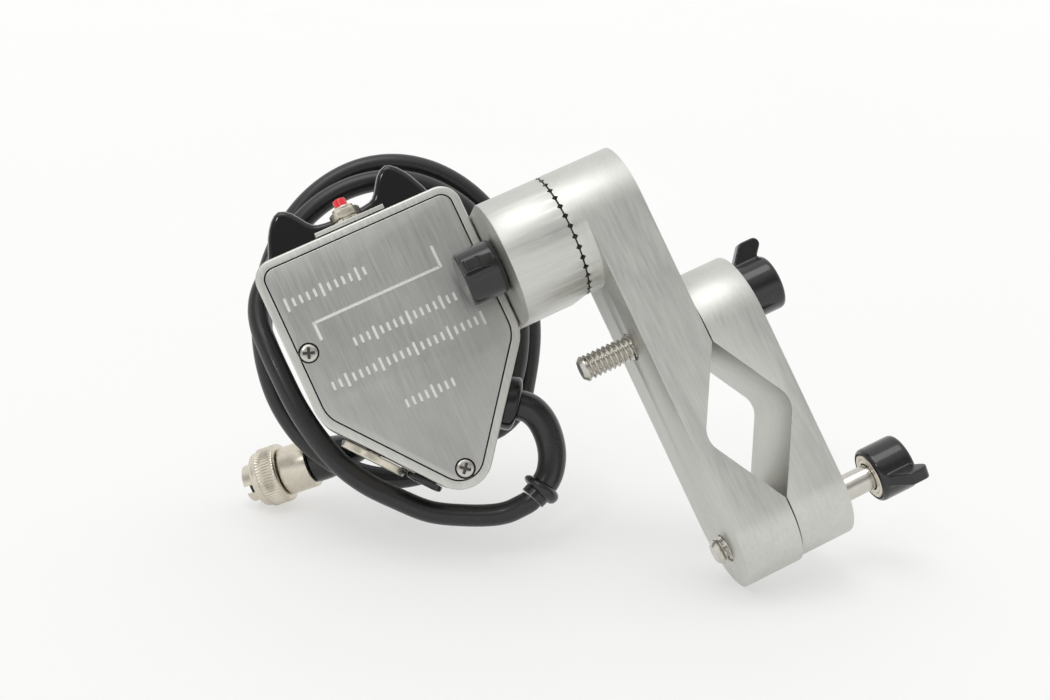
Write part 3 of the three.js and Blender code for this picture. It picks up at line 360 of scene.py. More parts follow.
def inset_corners(corners, distance):
    """The corners of a convex outline that runs anticlockwise, moved inwards by one distance."""
    moved = []
    for i, corner in enumerate(corners):
        corner = Vector(corner)
        before = (corner - Vector(corners[i - 1])).normalized()
        after = (Vector(corners[(i + 1) % len(corners)]) - corner).normalized()
        in_before = Vector((-before.y, before.x))
        in_after = Vector((-after.y, after.x))
        moved.append(corner + (in_before + in_after) * distance / (1 + in_before.dot(in_after)))
    return moved


HEAD_CORNERS = [
    (HEAD_CENTRE_X - HEAD_WIDTH / 2, HEAD_TOP),
    (HEAD_CENTRE_X - HEAD_WIDTH / 2, -HEAD_SHOULDER_DROP),
    (HEAD_CENTRE_X, -HEAD_TIP_DROP),
    (HEAD_CENTRE_X + HEAD_WIDTH / 2, -HEAD_SHOULDER_DROP),
    (HEAD_CENTRE_X + HEAD_WIDTH / 2, HEAD_TOP),
]
HEAD_RADII = (
    TOP_CORNER_RADIUS, SHOULDER_CORNER_RADIUS, TIP_CORNER_RADIUS, SHOULDER_CORNER_RADIUS, TOP_CORNER_RADIUS,
)


def head_outline(inset):
    return rounded(inset_corners(HEAD_CORNERS, inset), [radius - inset for radius in HEAD_RADII])


def lofted(rings):
    """A closed solid through rings of points with the same count, capped at both ends."""
    shape = bmesh.new()
    rows = [[shape.verts.new(point) for point in ring] for ring in rings]
    for lower, upper in zip(rows, rows[1:]):
        for k in range(len(lower)):
            shape.faces.new((lower[k - 1], lower[k], upper[k], upper[k - 1]))
    shape.faces.new(rows[0])
    shape.faces.new(rows[-1])
    return tidied(shape)


def tidied(shape):
    bmesh.ops.remove_doubles(shape, verts=shape.verts, dist=0.002)
    bmesh.ops.recalc_face_normals(shape, faces=shape.faces)
    return shape


def slab(outline, front, back, edge, steps=3):
    """An outline in (x, z) drawn back along y, with both its edges rounded."""
    stations = []
    for k in range(steps + 1):
        angle = math.pi / 2 * k / steps
        stations.append((edge * (1 - math.sin(angle)), front + edge * (1 - math.cos(angle))))
    stations += [(inset, front + back - depth) for inset, depth in reversed(stations)]
    return lofted([[(x, depth, z) for x, z in outline(inset)] for inset, depth in stations])


def turned(profile, sides=64):
    """A profile of (radius, height) points turned about z, closed where it ends on the axis."""
    shape = bmesh.new()
    rows = []
    for radius, height in profile:
        if radius == 0:
            rows.append([shape.verts.new((0, 0, height))])
            continue
        angles = [2 * math.pi * k / sides for k in range(sides)]
        rows.append([shape.verts.new((radius * math.cos(a), radius * math.sin(a), height)) for a in angles])
    for lower, upper in zip(rows, rows[1:]):
        for k in range(sides):
            if len(lower) == 1:
                shape.faces.new((lower[0], upper[k], upper[k - 1]))
            elif len(upper) == 1:
                shape.faces.new((lower[k - 1], lower[k], upper[0]))
            else:
                shape.faces.new((lower[k - 1], lower[k], upper[k], upper[k - 1]))
    return tidied(shape)


def rod(radius, start, end, sides=48):
    return turned([(0, start), (radius, start), (radius, end), (0, end)], sides)


def block(low, high):
    shape = bmesh.new()
    bmesh.ops.create_cube(shape, size=1.0)
    for vert in shape.verts:
        vert.co = [a + (b - a) * (c + 0.5) for a, b, c in zip(low, high, vert.co)]
    return shape


def bar_along_x(stations):
    """A solid along x through outlines in (y, z), each at its own place."""
    return lofted([[(x, y, z) for y, z in outline] for x, outline in stations])


def moved(shape, matrix):
    shape.transform(matrix)
    return shape


def gathered(*shapes):
    """Several shapes as one, side by side."""
    whole = shapes[0]
    for shape in shapes[1:]:
        mesh = bpy.data.meshes.new("part")
        shape.to_mesh(mesh)
        whole.from_mesh(mesh)
        bpy.data.meshes.remove(mesh)
    return whole


def with_modifier(shape, kind, settings):
    """The shape after one modifier."""
    obj = loose("work", shape)
    modifier = obj.modifiers.new("work", kind)
    for name, value in settings.items():
        setattr(modifier, name, value)
    mesh = evaluated(obj)
    result = bmesh.new()
    result.from_mesh(mesh)
    bpy.data.objects.remove(obj)
    bpy.data.meshes.remove(mesh)
    return result


def carved(shape, *cutters, operation="DIFFERENCE"):
    tool = loose("cutter", gathered(*cutters))
    result = with_modifier(shape, "BOOLEAN", {"operation": operation, "solver": "EXACT", "object": tool})
    bpy.data.objects.remove(tool)
    return tidied(result)


SHARP_ANGLE = 35.0
SAME_PLACE = 0.004
SAME_PLANE_ANGLE = 0.5


def soften(shape, width):
    """Rounds every sharp edge."""
    edges = [
        edge for edge in shape.edges
        if len(edge.link_faces) == 2 and edge.calc_face_angle(0.0) >= math.radians(SHARP_ANGLE)
    ]
    bmesh.ops.bevel(
        shape, geom=edges, offset=width, segments=2, profile=0.5, affect="EDGES", clamp_overlap=True,
    )
    return shape


def packed_shape(node):
    """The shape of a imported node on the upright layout, its flat faces whole."""
    shape = bmesh.new()
    shape.from_mesh(frame["nodes"][node].data)
    shape.transform(STAND.inverted())
    bmesh.ops.remove_doubles(shape, verts=shape.verts, dist=SAME_PLACE)
    bmesh.ops.dissolve_limit(
        shape, angle_limit=math.radians(SAME_PLANE_ANGLE), use_dissolve_boundaries=False,
        verts=shape.verts, edges=shape.edges,
    )
    return shape


def aimed(place, direction, across=None):
    """A frame on the upright layout whose z runs along a direction."""
    direction = Vector(direction).normalized()
    if across is None:
        turn = Vector((0, 0, 1)).rotation_difference(direction).to_matrix()
    else:
        across = Vector(across).normalized()
        turn = Matrix((across, direction.cross(across), direction)).transposed()
    return Matrix.Translation(Vector(place)) @ turn.to_4x4()


def add_piece(name, shape, look, nodes="", placed=None, body="head", crease=32.0):
    """Stands a shape of the upright layout in its real place, gives it its finish, hangs it on its body and
    hides the imported nodes it stands for.
    """
    obj = loose(name, shape) if isinstance(shape, bmesh.types.BMesh) else shape
    obj.name = name
    mesh = obj.data
    mesh.transform(STAND @ placed if placed is not None else STAND)
    mesh.materials.clear()
    mesh.materials.append(finish(look))
    mesh.shade_smooth()
    mesh.set_sharp_from_angle(angle=math.radians(crease))
    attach(obj, body)
    if nodes:
        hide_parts(*nodes.split())
    return obj


def add_copies(name, shape, places, turns, look, nodes, placed):
    """Sets copies of a small shape out as one piece, for the nodes whose names start the same."""
    one = loose(f"{name}_pattern", shape)
    obj = bare(name, [(x, y, 0) for x, y in places], measure="turn", values=turns)
    grown(obj, set_out_tree(), {"Piece": one, "Finish": finish(look)})
    bpy.data.objects.remove(one)
    found = sorted(node for node in frame["nodes"] if node.startswith(nodes))
    add_piece(name, obj, look, " ".join(found), placed)


# Finishes

# Colour, streaks, roughness, grain
METALS = {
    "machined_aluminium": ("aluminium", (1.6, 1.6, 0.12), (0.36, 0.52), 0.5),
    "bar_aluminium": ("aluminium", (0.12, 1.6, 1.6), (0.36, 0.5), 0.5),
    "brushed_panel": ("panel", (3.4, 3.4, 0.1), (0.3, 0.46), 0.7),
    "stainless": ("steel", (0.8, 0.8, 0.8), (0.2, 0.3), 0.08),
    "nickel": ("nickel", (0.7, 0.7, 0.7), (0.24, 0.34), 0.1),
}
# Colour, roughness, grain, coat, dust
PLASTICS = {
    "gloss_black": ("black", (0.08, 0.16), 0.2, 0.0, 0.0),
    "satin_black": ("black", (0.25, 0.4), 0.3, 0.0, 0.1),
    "knob_black": ("black", (0.12, 0.26), 0.6, 0.3, 0.12),
    "rubber_black": ("rubber", (0.2, 0.32), 0.3, 0.15, 0.08),
    "cable_black": ("rubber", (0.3, 0.4), 0.3, 0.1, 0.1),
    "red_plastic": ("red", (0.2, 0.32), 0.15, 0.3, 0.0),
    "board_green": ("board", (0.3, 0.45), 0.1, 0.0, 0.0),
}
FINISHES = {}
DUST = (0.22, 0.21, 0.2, 1.0)
# Painted highlight: the grey line on the rocker's rounded top front edge, its colour, its depth span and how
# far down from the top it reaches
PAINTED_EDGE_HIGHLIGHT = (0.24, 0.24, 0.235, 1.0)
EDGE_HIGHLIGHT_FROM = 0.5
EDGE_HIGHLIGHT_TO = 1.5
EDGE_HIGHLIGHT_HEIGHT = 1.5
FROST_DARK = (0.62, 0.62, 0.6, 1.0)
FROST_BRIGHT = (0.95, 0.95, 0.93, 1.0)
# Painted shade: from what depth behind the panel's front the screw heads turn dark, and how dark
RECESS_FROM = 0.2
RECESS_TO = 0.5
RECESS_PAINTED_SHADE = 0.22


def finish(name):
    """The material of that name, made when it is first asked for."""
    if name not in FINISHES:
        made = Finish(name.replace("_", " "))
        if name in METALS:
            metal(made, *METALS[name])
        elif name in PLASTICS:
            plastic(made, *PLASTICS[name])
        else:
            OTHER_FINISHES[name](made)
        FINISHES[name] = made.material
    return FINISHES[name]


def shade(colour, factor):
    """A colour of the settings, darker or brighter."""
    channels = getattr(bpy.context.scene.lens_controller.colours, colour)
    return (*(channel * factor for channel in channels), 1.0)


def metal(made, colour, streaks, rough, grain):
    """Bare metal with streaks of one direction, faint stains and fine scratches."""
    fine = made.noise(made.upright(streaks), 1.0, 4.0, 0.65)
    coarse = made.noise(made.upright([s * 0.22 for s in streaks]), 1.0, 2.0)
    stains = made.noise(made.upright(), 0.07, 3.0)
    tone = made.spread(fine * 0.6 + coarse * 0.25 + stains * 0.35, 0.0, 1.0, 0.35, 0.85)
    made.surface({
        "Base Color": made.mix(tone, shade(colour, 0.84), shade(colour, 1.08)),
        "Metallic": 1.0,
        "Roughness": made.spread(fine * 0.7 + stains * 0.3, *rough, 0.3, 0.7),
        "Normal": made.bump(fine, grain, 0.01),
    })


def recessed_stainless(made):
    """Stainless screw heads, with painted shade darkening them down in their crossed recess and round their
    rim.
    """
    fine = made.noise(made.upright((0.8, 0.8, 0.8)), 1.0, 4.0, 0.65)
    depth = made.axes(made.upright())[1]
    # Painted shade: the deeper the surface lies behind the panel's front, the darker its colour
    painted_recess_shade = made.spread(depth, 0.0, 1.0, HEAD_FRONT + RECESS_FROM, HEAD_FRONT + RECESS_TO)
    bright = made.mix(fine, shade("steel", 0.8), shade("steel", 1.08))
    made.surface({
        "Base Color": made.mix(painted_recess_shade, bright, shade("steel", RECESS_PAINTED_SHADE)),
        "Metallic": 1.0,
        "Roughness": made.spread(fine, 0.24, 0.36, 0.3, 0.7),
        "Normal": made.bump(fine, 0.3, 0.02),
    })


def plastic(made, colour, rough, grain, coat, dust):
    """Moulded plastic: slight waves, a fine grain and a little dust."""
    waves = made.noise(made.upright(), 0.22, 2.0)
    speckle = made.noise(made.upright(), 5.0, 3.0, 0.7)
    patches = made.noise(made.upright(), 1.3, 5.0, 0.7)
    settled = made.node("ShaderNodeValToRGB", {"stops": [(0.55, 0.0), (0.75, dust)]}, {"Fac": patches})
    tint = made.mix(waves, shade(colour, 0.85), shade(colour, 1.2))
    made.surface({
        "Base Color": made.mix(settled, tint, DUST),
        "Roughness": made.spread(waves * 0.5 + speckle * 0.5, *rough, 0.3, 0.7),
        "Normal": made.bump(waves * 0.8 + speckle * 0.2, grain, 0.05),
        "Coat Weight": coat,
        "Coat Roughness": 0.06,
    })


def edged_black(made):
    """Gloss black with a thin grey line along the top of its front edge: a painted highlight where the
    rounded edge reflects the bright room above.
    """
    place = made.upright()
    depth, height = made.axes(place)[1:]
    wander = made.noise(place, 0.5, 3.0)
    # Painted highlight: the grey line lies on the rounding of the front edge, and only near the top of the
    # housing
    line = (depth > wander * 0.2 + ROCKER_FRONT + EDGE_HIGHLIGHT_FROM) * (depth < ROCKER_FRONT + EDGE_HIGHLIGHT_TO)
    painted_edge_highlight = line * (height > HEAD_TOP - EDGE_HIGHLIGHT_HEIGHT)
    waves = made.noise(place, 0.22, 2.0)
    tint = made.mix(waves, shade("black", 0.85), shade("black", 1.2))
    made.surface({
        "Base Color": made.mix(painted_edge_highlight, tint, PAINTED_EDGE_HIGHLIGHT),
        "Roughness": painted_edge_highlight * 0.3 + made.spread(waves, 0.07, 0.14, 0.3, 0.7),
        "Normal": made.bump(waves, 0.2, 0.05),
    })


def frosted_marks(made):
    """Engraved strokes: bright, matt and gritty."""
    grit = made.noise(made.upright(), 3.2, 4.0, 0.7)
    made.surface({
        "Base Color": made.mix(grit, FROST_DARK, FROST_BRIGHT),
        "Metallic": 0.35,
        "Roughness": made.spread(grit, 0.4, 0.75),
        "Normal": made.bump(grit, 0.8, 0.08),
    })


OTHER_FINISHES = {
    "recessed_stainless": recessed_stainless,
    "edged_black": edged_black,
    "frosted_marks": frosted_marks,
}


# Lines that the cable and its boot follow, in millimetres of the upright layout: x, how far down, depth

LEAD_ROUTE = [
    (-18.2, 54.4, 20.3), (-21.2, 54.4, 21.1), (-24.6, 53.6, 21.9), (-31.3, 50.6, 23.5), (-38.5, 46.2, 25),
    (-44.6, 39.7, 26), (-49.9, 33, 27), (-53.7, 25.6, 28.2), (-56, 17.5, 29.6), (-57.3, 8.5, 31),
    (-57.6, 0, 32.8), (-57.6, -8, 35), (-57.2, -14, 37.2), (-55.7, -19, 38.8), (-53, -23, 39.7),
]
TAIL_ROUTE = [
    (-4, 32, 49.7), (-10.5, 34.9, 49.3), (-17.5, 34.6, 48.6), (-24, 31.9, 47.9), (-30.5, 28.9, 47.6),
    (-37, 26.6, 48.4), (-42, 25.2, 49.6),
]
COIL_CENTRE = (-25.9, 1.75, 34.0)
COIL_DRIFT = (0.067, -0.083)
COIL_HALF_WIDTH = 35.8
COIL_HALF_HEIGHT = 45.0
COIL_LEAN = 0.37
COIL_START_ANGLE = 3.6
COIL_END_ANGLE = 12.9
COIL_START_DEPTH = 40.0
COIL_SET_BACK = 5.6
COIL_SET_BACK_POWER = 1.4
COIL_REACH_SHARES = [0.955, 0.9, 0.88, 0.89, 0.87, 0.835, 0.88, 0.97, 1, 1, 1, 1, 0.985]
COIL_STEPS_PER_TURN = 24
BOOT_ROUTE = [
    (0, 0), (0.8, 0), (3.2, 0.4), (6.2, 2.3), (9.1, 6), (10.9, 10.4), (11.2, 15), (9.9, 19), (8.4, 21.6),
]
BOOT_START_RADIUS = 3.8
BOOT_END_RADIUS = 3.3
BEAD_RADIUS = 4.9
BEAD_HALF_LENGTH = 1.4
BEAD_START = 3.2
GLAND_PLACE = 17.0
COLLAR_HEIGHT = 3.4
BOOT_STEP = 0.18
CABLE_STEP = 0.9
END_LEAD = 0.7
SLEEVE_LEAD = 2.75

# Where the connector lies, and how its pieces follow one another
CONNECTOR_PLACE = Vector((-74.9, 59.9, -20.7))
CONNECTOR_AIM = Vector((0.948, -0.299, -0.11)).normalized()
RING_RADIUS = 7.9
RING_LENGTH = 7.6
BARREL_FRONT = RING_LENGTH + FIT
BARREL_LENGTH = 7.8
SLEEVE_FRONT = BARREL_FRONT + BARREL_LENGTH + FIT
SLEEVE_LENGTH = 14.0


def slant(side, place):
    """A place down a slanting wall from the shoulder: its point, the way out and the way down."""
    shoulder = Vector((HEAD_CENTRE_X + side * HEAD_WIDTH / 2, -HEAD_SHOULDER_DROP))
    along = (Vector((HEAD_CENTRE_X, -HEAD_TIP_DROP)) - shoulder).normalized()
    point = shoulder + along * place
    outward = Vector((-side * along.y, 0, side * along.x))
    return Vector((point.x, SIDE_FEATURE_DEPTH, point.y)), outward, Vector((along.x, 0, along.y))


def eased(start, end, into, out, t):
    """A place part of the way from one point to the next, by the slope at each."""
    return (
        start * (2 * t ** 3 - 3 * t ** 2 + 1) + into * (t ** 3 - 2 * t ** 2 + t)
        + end * (3 * t ** 2 - 2 * t ** 3) + out * (t ** 3 - t ** 2)
    )


def smooth_line(points, step):
    """A line through points whose bends are eased by how far apart they are, in even steps."""
    ends = [points[0] * 2 - points[1], *points, points[-1] * 2 - points[-2]]
    dense = []
    for a, b, c, d in zip(ends, ends[1:], ends[2:], ends[3:]):
        spans = [max((q - p).length ** 0.5, 1e-4) for p, q in ((a, b), (b, c), (c, d))]
        into = ((b - a) / spans[0] - (c - a) / (spans[0] + spans[1]) + (c - b) / spans[1]) * spans[1]
        out = ((c - b) / spans[1] - (d - b) / (spans[1] + spans[2]) + (d - c) / spans[2]) * spans[1]
        pieces = max(2, math.ceil((c - b).length / step))
        dense += [eased(b, c, into, out, k / pieces) for k in range(pieces)]
    return [*dense, points[-1]]


def line_length(points):
    return sum((b - a).length for a, b in zip(points, points[1:]))


def boot_line():
    point, outward, down = slant(1, GLAND_PLACE)
    start = point + outward * (2 * FIT + COLLAR_HEIGHT)
    return smooth_line([start + outward * out + down * along for out, along in BOOT_ROUTE], BOOT_STEP)


def share_at(way):
    """How much of the oval's size the winding has there, eased between the listed shares."""
    last = len(COIL_REACH_SHARES) - 1
    i = min(int(way * last), last - 1)
    p0, p1, p2, p3 = (COIL_REACH_SHARES[min(max(k, 0), last)] for k in (i - 1, i, i + 1, i + 2))
    return eased(p1, p2, (p2 - p0) / 2, (p3 - p1) / 2, way * last - i)


def coil_point(angle):
    turns = (angle - COIL_START_ANGLE) / (2 * math.pi)
    depth = COIL_START_DEPTH + COIL_SET_BACK * turns ** COIL_SET_BACK_POWER
    share = share_at((angle - COIL_START_ANGLE) / (COIL_END_ANGLE - COIL_START_ANGLE))
    across = share * COIL_HALF_WIDTH * math.cos(angle)
    along = share * COIL_HALF_HEIGHT * math.sin(angle)
    back = depth - COIL_CENTRE[2]
    x = COIL_CENTRE[0] + COIL_DRIFT[0] * back + across * math.cos(COIL_LEAN) - along * math.sin(COIL_LEAN)
    drop = COIL_CENTRE[1] + COIL_DRIFT[1] * back + across * math.sin(COIL_LEAN) + along * math.cos(COIL_LEAN)
    return Vector((x, depth, -drop))


def cable_line():
    """The whole cable, from the boot's end to the connector's sleeve."""
    boot = boot_line()
    out = (boot[-1] - boot[-2]).normalized()
    span = COIL_END_ANGLE - COIL_START_ANGLE
    steps = round(COIL_STEPS_PER_TURN * span / (2 * math.pi))
    winding = [coil_point(COIL_START_ANGLE + span * k / steps) for k in range(steps + 1)]
    sleeve_end = CONNECTOR_PLACE + CONNECTOR_AIM * (SLEEVE_FRONT + SLEEVE_LENGTH)
    lead, tail = ([Vector((x, y, -drop)) for x, drop, y in route] for route in (LEAD_ROUTE, TAIL_ROUTE))
    points = [boot[-1] + out * FIT, boot[-1] + out * (FIT + END_LEAD), *lead, *winding, *tail]
    points += [sleeve_end + CONNECTOR_AIM * (FIT + SLEEVE_LEAD), sleeve_end + CONNECTOR_AIM * FIT]
    return smooth_line(points, CABLE_STEP)


def tube(name, line, radii, sides, look):
    """A tube along a line of points, with its own radius at each."""
    obj = bare(name, line, [(k, k + 1) for k in range(len(line) - 1)], "reach", radii)
    return grown(obj, tube_tree(), {"Sides": sides, "Finish": finish(look)})


# What a user would change

def length(name, description, default, low, high):
    return FloatProperty(
        name=name, description=description, default=default, min=low, max=high, unit="LENGTH",
        subtype="DISTANCE",
    )


def count(name, description, default, low, high):
    return IntProperty(name=name, description=description, default=default, min=low, max=high)


def colour(name, description, default):
    return FloatVectorProperty(
        name=name, description=description, subtype="COLOR", size=3, default=default, min=0.0, max=1.0,
    )


def strength(name, description, default, **kind):
    return FloatProperty(name=name, description=description, default=default, min=0.0, **kind)


class CableSizes(bpy.types.PropertyGroup):
    """The cable from the boot to the connector."""

    diameter: length("Diameter", "Thickness of the round cable", 0.0055, 0.003, 0.007)
    sides: count("Sides", "Sides of the cable's round section", 24, 8, 64)


class ScrewSizes(bpy.types.PropertyGroup):
    """Threads of the clamp and hub screws."""

    pitch: length("Pitch", "Advance of the thread in one turn", 0.00127, 0.0005, 0.003)
    depth: length("Depth", "Depth of the thread's valley", 0.00072, 0.0001, 0.001)


class KnurlSizes(bpy.types.PropertyGroup):
    """Straight ridges of the connector's coupling ring."""

    ridges: count("Ridges", "Ridges round the ring", 60, 12, 120)
    depth: length("Depth", "Depth between two ridges", 0.00028, 0.00005, 0.0006)


class MarkSizes(bpy.types.PropertyGroup):
    """Lines and scales engraved in the front panel."""

    stroke: length("Stroke", "Width of an engraved line", 0.0008, 0.0002, 0.002)
    step: length("Step", "Distance from one mark of a scale to the next", 0.0017, 0.001, 0.005)


class FinishColours(bpy.types.PropertyGroup):
    """Base colours of the finishes."""

    aluminium: colour("Aluminium", "Machined jaws, bracket and housing", (0.64, 0.64, 0.605))
    panel: colour("Panel", "Brushed front panel", (0.52, 0.52, 0.5))
    steel: colour("Steel", "Screws", (0.62, 0.6, 0.55))
    nickel: colour("Nickel", "Connector, rings and nut", (0.7, 0.65, 0.55))
    black: colour("Black", "Moulded plastic", (0.005, 0.005, 0.0055))
    rubber: colour("Rubber", "Cable, boot and sleeve", (0.008, 0.0085, 0.009))
    red: colour("Red", "Cap of the record button", (0.75, 0.01, 0.02))
    board: colour("Board", "Circuit board", (0.02, 0.12, 0.05))
    floor: colour("Floor", "Studio floor", (0.46, 0.46, 0.455))


class StudioLight(bpy.types.PropertyGroup):
    """Strength of the lights."""

    key: strength("Key", "Soft light overhead", 0.6)
    glint: strength("Glint", "Small light at the camera's left", 2.6, unit="POWER")
    front: strength("Front", "Light of the room on the camera's side", 0.36, subtype="FACTOR")
    low_front: strength("Low front", "Light of the room low on the camera's side", 1.08, subtype="FACTOR")
    behind: strength("Behind", "Light of the room overhead and behind", 0.97, subtype="FACTOR")


class LensControllerSettings(bpy.types.PropertyGroup):
    """Everything the panel shows."""

    cable: PointerProperty(type=CableSizes, name="Cable", description="Cable sizes")
    screws: PointerProperty(type=ScrewSizes, name="Screws", description="Thread sizes")
    knurl: PointerProperty(type=KnurlSizes, name="Knurl", description="Coupling ring sizes")
    marks: PointerProperty(type=MarkSizes, name="Marks", description="Engraved lines")
    colours: PointerProperty(type=FinishColours, name="Colours", description="Base colours")
    light: PointerProperty(type=StudioLight, name="Light", description="Studio light")


# The stage, the camera and the lights

CAMERA_PLACE = (-0.013605, -0.31376, 0.14715)
CAMERA_PITCH = 73.0
PHOTO_WIDTH = 1050
FOCAL_PIXELS = 1360
SENSOR = 36.0
FLOOR_HALF = 6.0
FLOOR_GLOW = 0.46
SUN_FROM = (-0.18, -0.14, 0.97)
SUN_SOFTNESS = 35.0
GLINT_PLACE = (-0.75, -1.3, 1.5)
GLINT_SIZE = 0.18
CAMERA_NEAR = 0.01
GLINT_AIM = (0, 0, 0.05)


class LENSCONTROLLER_OT_studio(bpy.types.Operator):
    """Sets up the camera, the pale floor and the soft lights"""

    bl_idname = "lens_controller.studio"
    bl_label = "Studio"

    def execute(self, context):
        camera = bpy.data.cameras.new("camera")
        camera.sensor_width = SENSOR
        camera.lens = SENSOR * FOCAL_PIXELS / PHOTO_WIDTH
        camera.clip_start = CAMERA_NEAR
        obj = linked("camera", camera)
        obj.location = CAMERA_PLACE
        obj.rotation_euler = (math.radians(CAMERA_PITCH), 0, 0)
        context.scene.camera = obj
        self.floor()
        self.lights(context.scene.lens_controller.light)
        self.room(context.scene, context.scene.lens_controller.light)
        return {"FINISHED"}

    def floor(self):
        """A wide flat sheet, whose far edge is out of view."""
        shape = bmesh.new()
        corners = [(-FLOOR_HALF, -FLOOR_HALF), (FLOOR_HALF, -FLOOR_HALF), (FLOOR_HALF, FLOOR_HALF)]
        corners.append((-FLOOR_HALF, FLOOR_HALF))
        shape.faces.new([shape.verts.new((x, y, 0)) for x, y in corners])
        sheet = loose("floor", shape)
        made = Finish("floor")
        cloudy = made.noise(made.node("ShaderNodeTexCoord", output="Object"), 3.0, 2.0)
        made.surface({
            "Base Color": made.mix(cloudy, shade("floor", 0.98), shade("floor", 1.02)),
            "Roughness": 0.6,
            "Specular IOR Level": 0.2,
            "Emission Color": (1.0, 1.0, 0.99, 1.0),
            "Emission Strength": FLOOR_GLOW,
        })
        sheet.data.materials.append(made.material)

    def lights(self, light):
        sun = bpy.data.lights.new("key", "SUN")
        sun.energy = light.key
        sun.angle = math.radians(SUN_SOFTNESS)
        linked("key", sun).rotation_euler = Vector(SUN_FROM).to_track_quat("Z", "Y").to_euler()
        glint = bpy.data.lights.new("glint", "AREA")
        glint.shape = "RECTANGLE"
        glint.size = glint.size_y = GLINT_SIZE
        glint.energy = light.glint
        lamp = linked("glint", glint)
        lamp.location = GLINT_PLACE
        lamp.rotation_euler = (Vector(GLINT_AIM) - lamp.location).to_track_quat("-Z", "Y").to_euler()

    def room(self, scene, light):
        """A white room: darker on the camera's side, brighter overhead and behind."""
        world = bpy.data.worlds.new("white room")
        world.use_nodes = True
        world.node_tree.nodes.clear()
        tree = Tree(world.node_tree)
        back, height = tree.axes(tree.node("ShaderNodeTexCoord", output="Generated"))[1:]
        behind = tree.spread(back, 0.0, 1.0, -0.6, 0.3, "SMOOTHSTEP")
        above = tree.spread(height, 0.0, 1.0, 0.55, 0.95, "SMOOTHSTEP")
        front = tree.spread(height, light.low_front, light.front, 0.12, 0.5, "SMOOTHSTEP")
        strength = tree.math("MAXIMUM", behind, above) * (light.behind - front) + front
        room = tree.node("ShaderNodeBackground", None, {"Color": (1, 1, 1, 1), "Strength": strength})
        tree.node("ShaderNodeOutputWorld", None, {"Surface": room}, output=None)
        scene.world = world
        scene.view_settings.view_transform = "Standard"


BOOT_SIDES = 40


class LENSCONTROLLER_OT_cable(bpy.types.Operator):
    """Winds the cable from its boot on the head to its connector"""

    bl_idname = "lens_controller.cable"
    bl_label = "Cable and boot"

    def execute(self, context):
        sizes = context.scene.lens_controller.cable
        line = cable_line()
        cable = tube("control_cable", line, [sizes.diameter / MM / 2] * len(line), sizes.sides, "cable_black")
        add_piece("control_cable", cable, "cable_black", "cable_lead cable_coil cable_tail")
        path = [STAND @ point for point in line]
        line_length(path)
        self.boot()
        return {"FINISHED"}

    def boot(self):
        """The tapering boot, with a bead near its end."""
        line = boot_line()
        total = line_length(line)
        radii = []
        gone = 0.0
        for k, point in enumerate(line):
            gone += (point - line[k - 1]).length if k else 0.0
            taper = BOOT_START_RADIUS + (BOOT_END_RADIUS - BOOT_START_RADIUS) * gone / total
            from_bead = abs(gone - (total - BEAD_START)) / BEAD_HALF_LENGTH
            swell = math.sqrt(1 - from_bead ** 2) if from_bead < 1 else 0.0
            radii.append(taper + (BEAD_RADIUS - taper) * swell)
        boot = tube("boot", line, radii, BOOT_SIDES, "rubber_black")
        add_piece("rubber_boot", boot, "rubber_black", "strain_relief_boot", crease=60.0)


# Clamp jaws and swivel bracket, along x

BRACKET_LEFT = -0.3
BRACKET_FACE = 15.35
BRACKET_REACH = 21.5
BRACKET_CORNER_RADIUS = 1.5
BRACKET_SCREW_DEPTH = 16.3
BRACKET_SCREW_SPREAD = 9.0
BRACKET_SCREW_HOLE = 1.8
BRACKET_SCREW_END = 9.3
BOSS_FACE = BRACKET_FACE + FIT
ARM_FACE = 19.5
ARM_LENGTH = 77.5
PARTING_FACE = 33.66
REAR_JAW_FACE = PARTING_FACE + FIT
REAR_JAW_BACK = 47.74
REAR_JAW_TOP_DROP = 34.9
REAR_JAW_FOOT_RISE = 0.7
CLAMP_SCREW_DROPS = (30.5, 82.5)
SCREW_BORE = 3.475
NOTCH_DROP = 56.5
NOTCH_HALF_HEIGHT = 19.3
NOTCH_DEPTH = 11.1
NOTCH_RADIUS = 5.5
ROSETTE_GROOVES = 36
GROOVE_WIDTH = 1.3
GROOVE_DEPTH = 0.65
GROOVE_LIP = 0.2
GROOVE_START = 10.6
QUARTER_STEPS = 40
EDGE_WIDTH = 0.3
OVERRUN = 2.0


def stadium(top, bottom):
    """A bar's outline in (y, z) with half round ends about two heights."""
    corners = [
        (-ARM_RADIUS, top + ARM_RADIUS), (-ARM_RADIUS, bottom - ARM_RADIUS),
        (ARM_RADIUS, bottom - ARM_RADIUS), (ARM_RADIUS, top + ARM_RADIUS),
    ]
    return rounded(corners, [ARM_RADIUS] * 4, [QUARTER_STEPS] * 4)


def notch(face, side):
    """The V that is taken out of a jaw, right through along y."""
    mouth = NOTCH_HALF_HEIGHT * (1 + OVERRUN / NOTCH_DEPTH)
    corners = [
        (face - side * OVERRUN, -NOTCH_DROP + mouth),
        (face + side * NOTCH_DEPTH, -NOTCH_DROP),
        (face - side * OVERRUN, -NOTCH_DROP - mouth),
    ]
    outline = rounded(corners, (0.0, NOTCH_RADIUS, 0.0), (1, CORNER_STEPS, 1))
    half = ARM_RADIUS + OVERRUN
    return lofted([[(x, y, z) for x, z in outline] for y in (-half, half)])


def bore(drop):
    return moved(rod(SCREW_BORE, -OVERRUN, REAR_JAW_BACK + OVERRUN), aimed((0, 0, -drop), (1, 0, 0)))


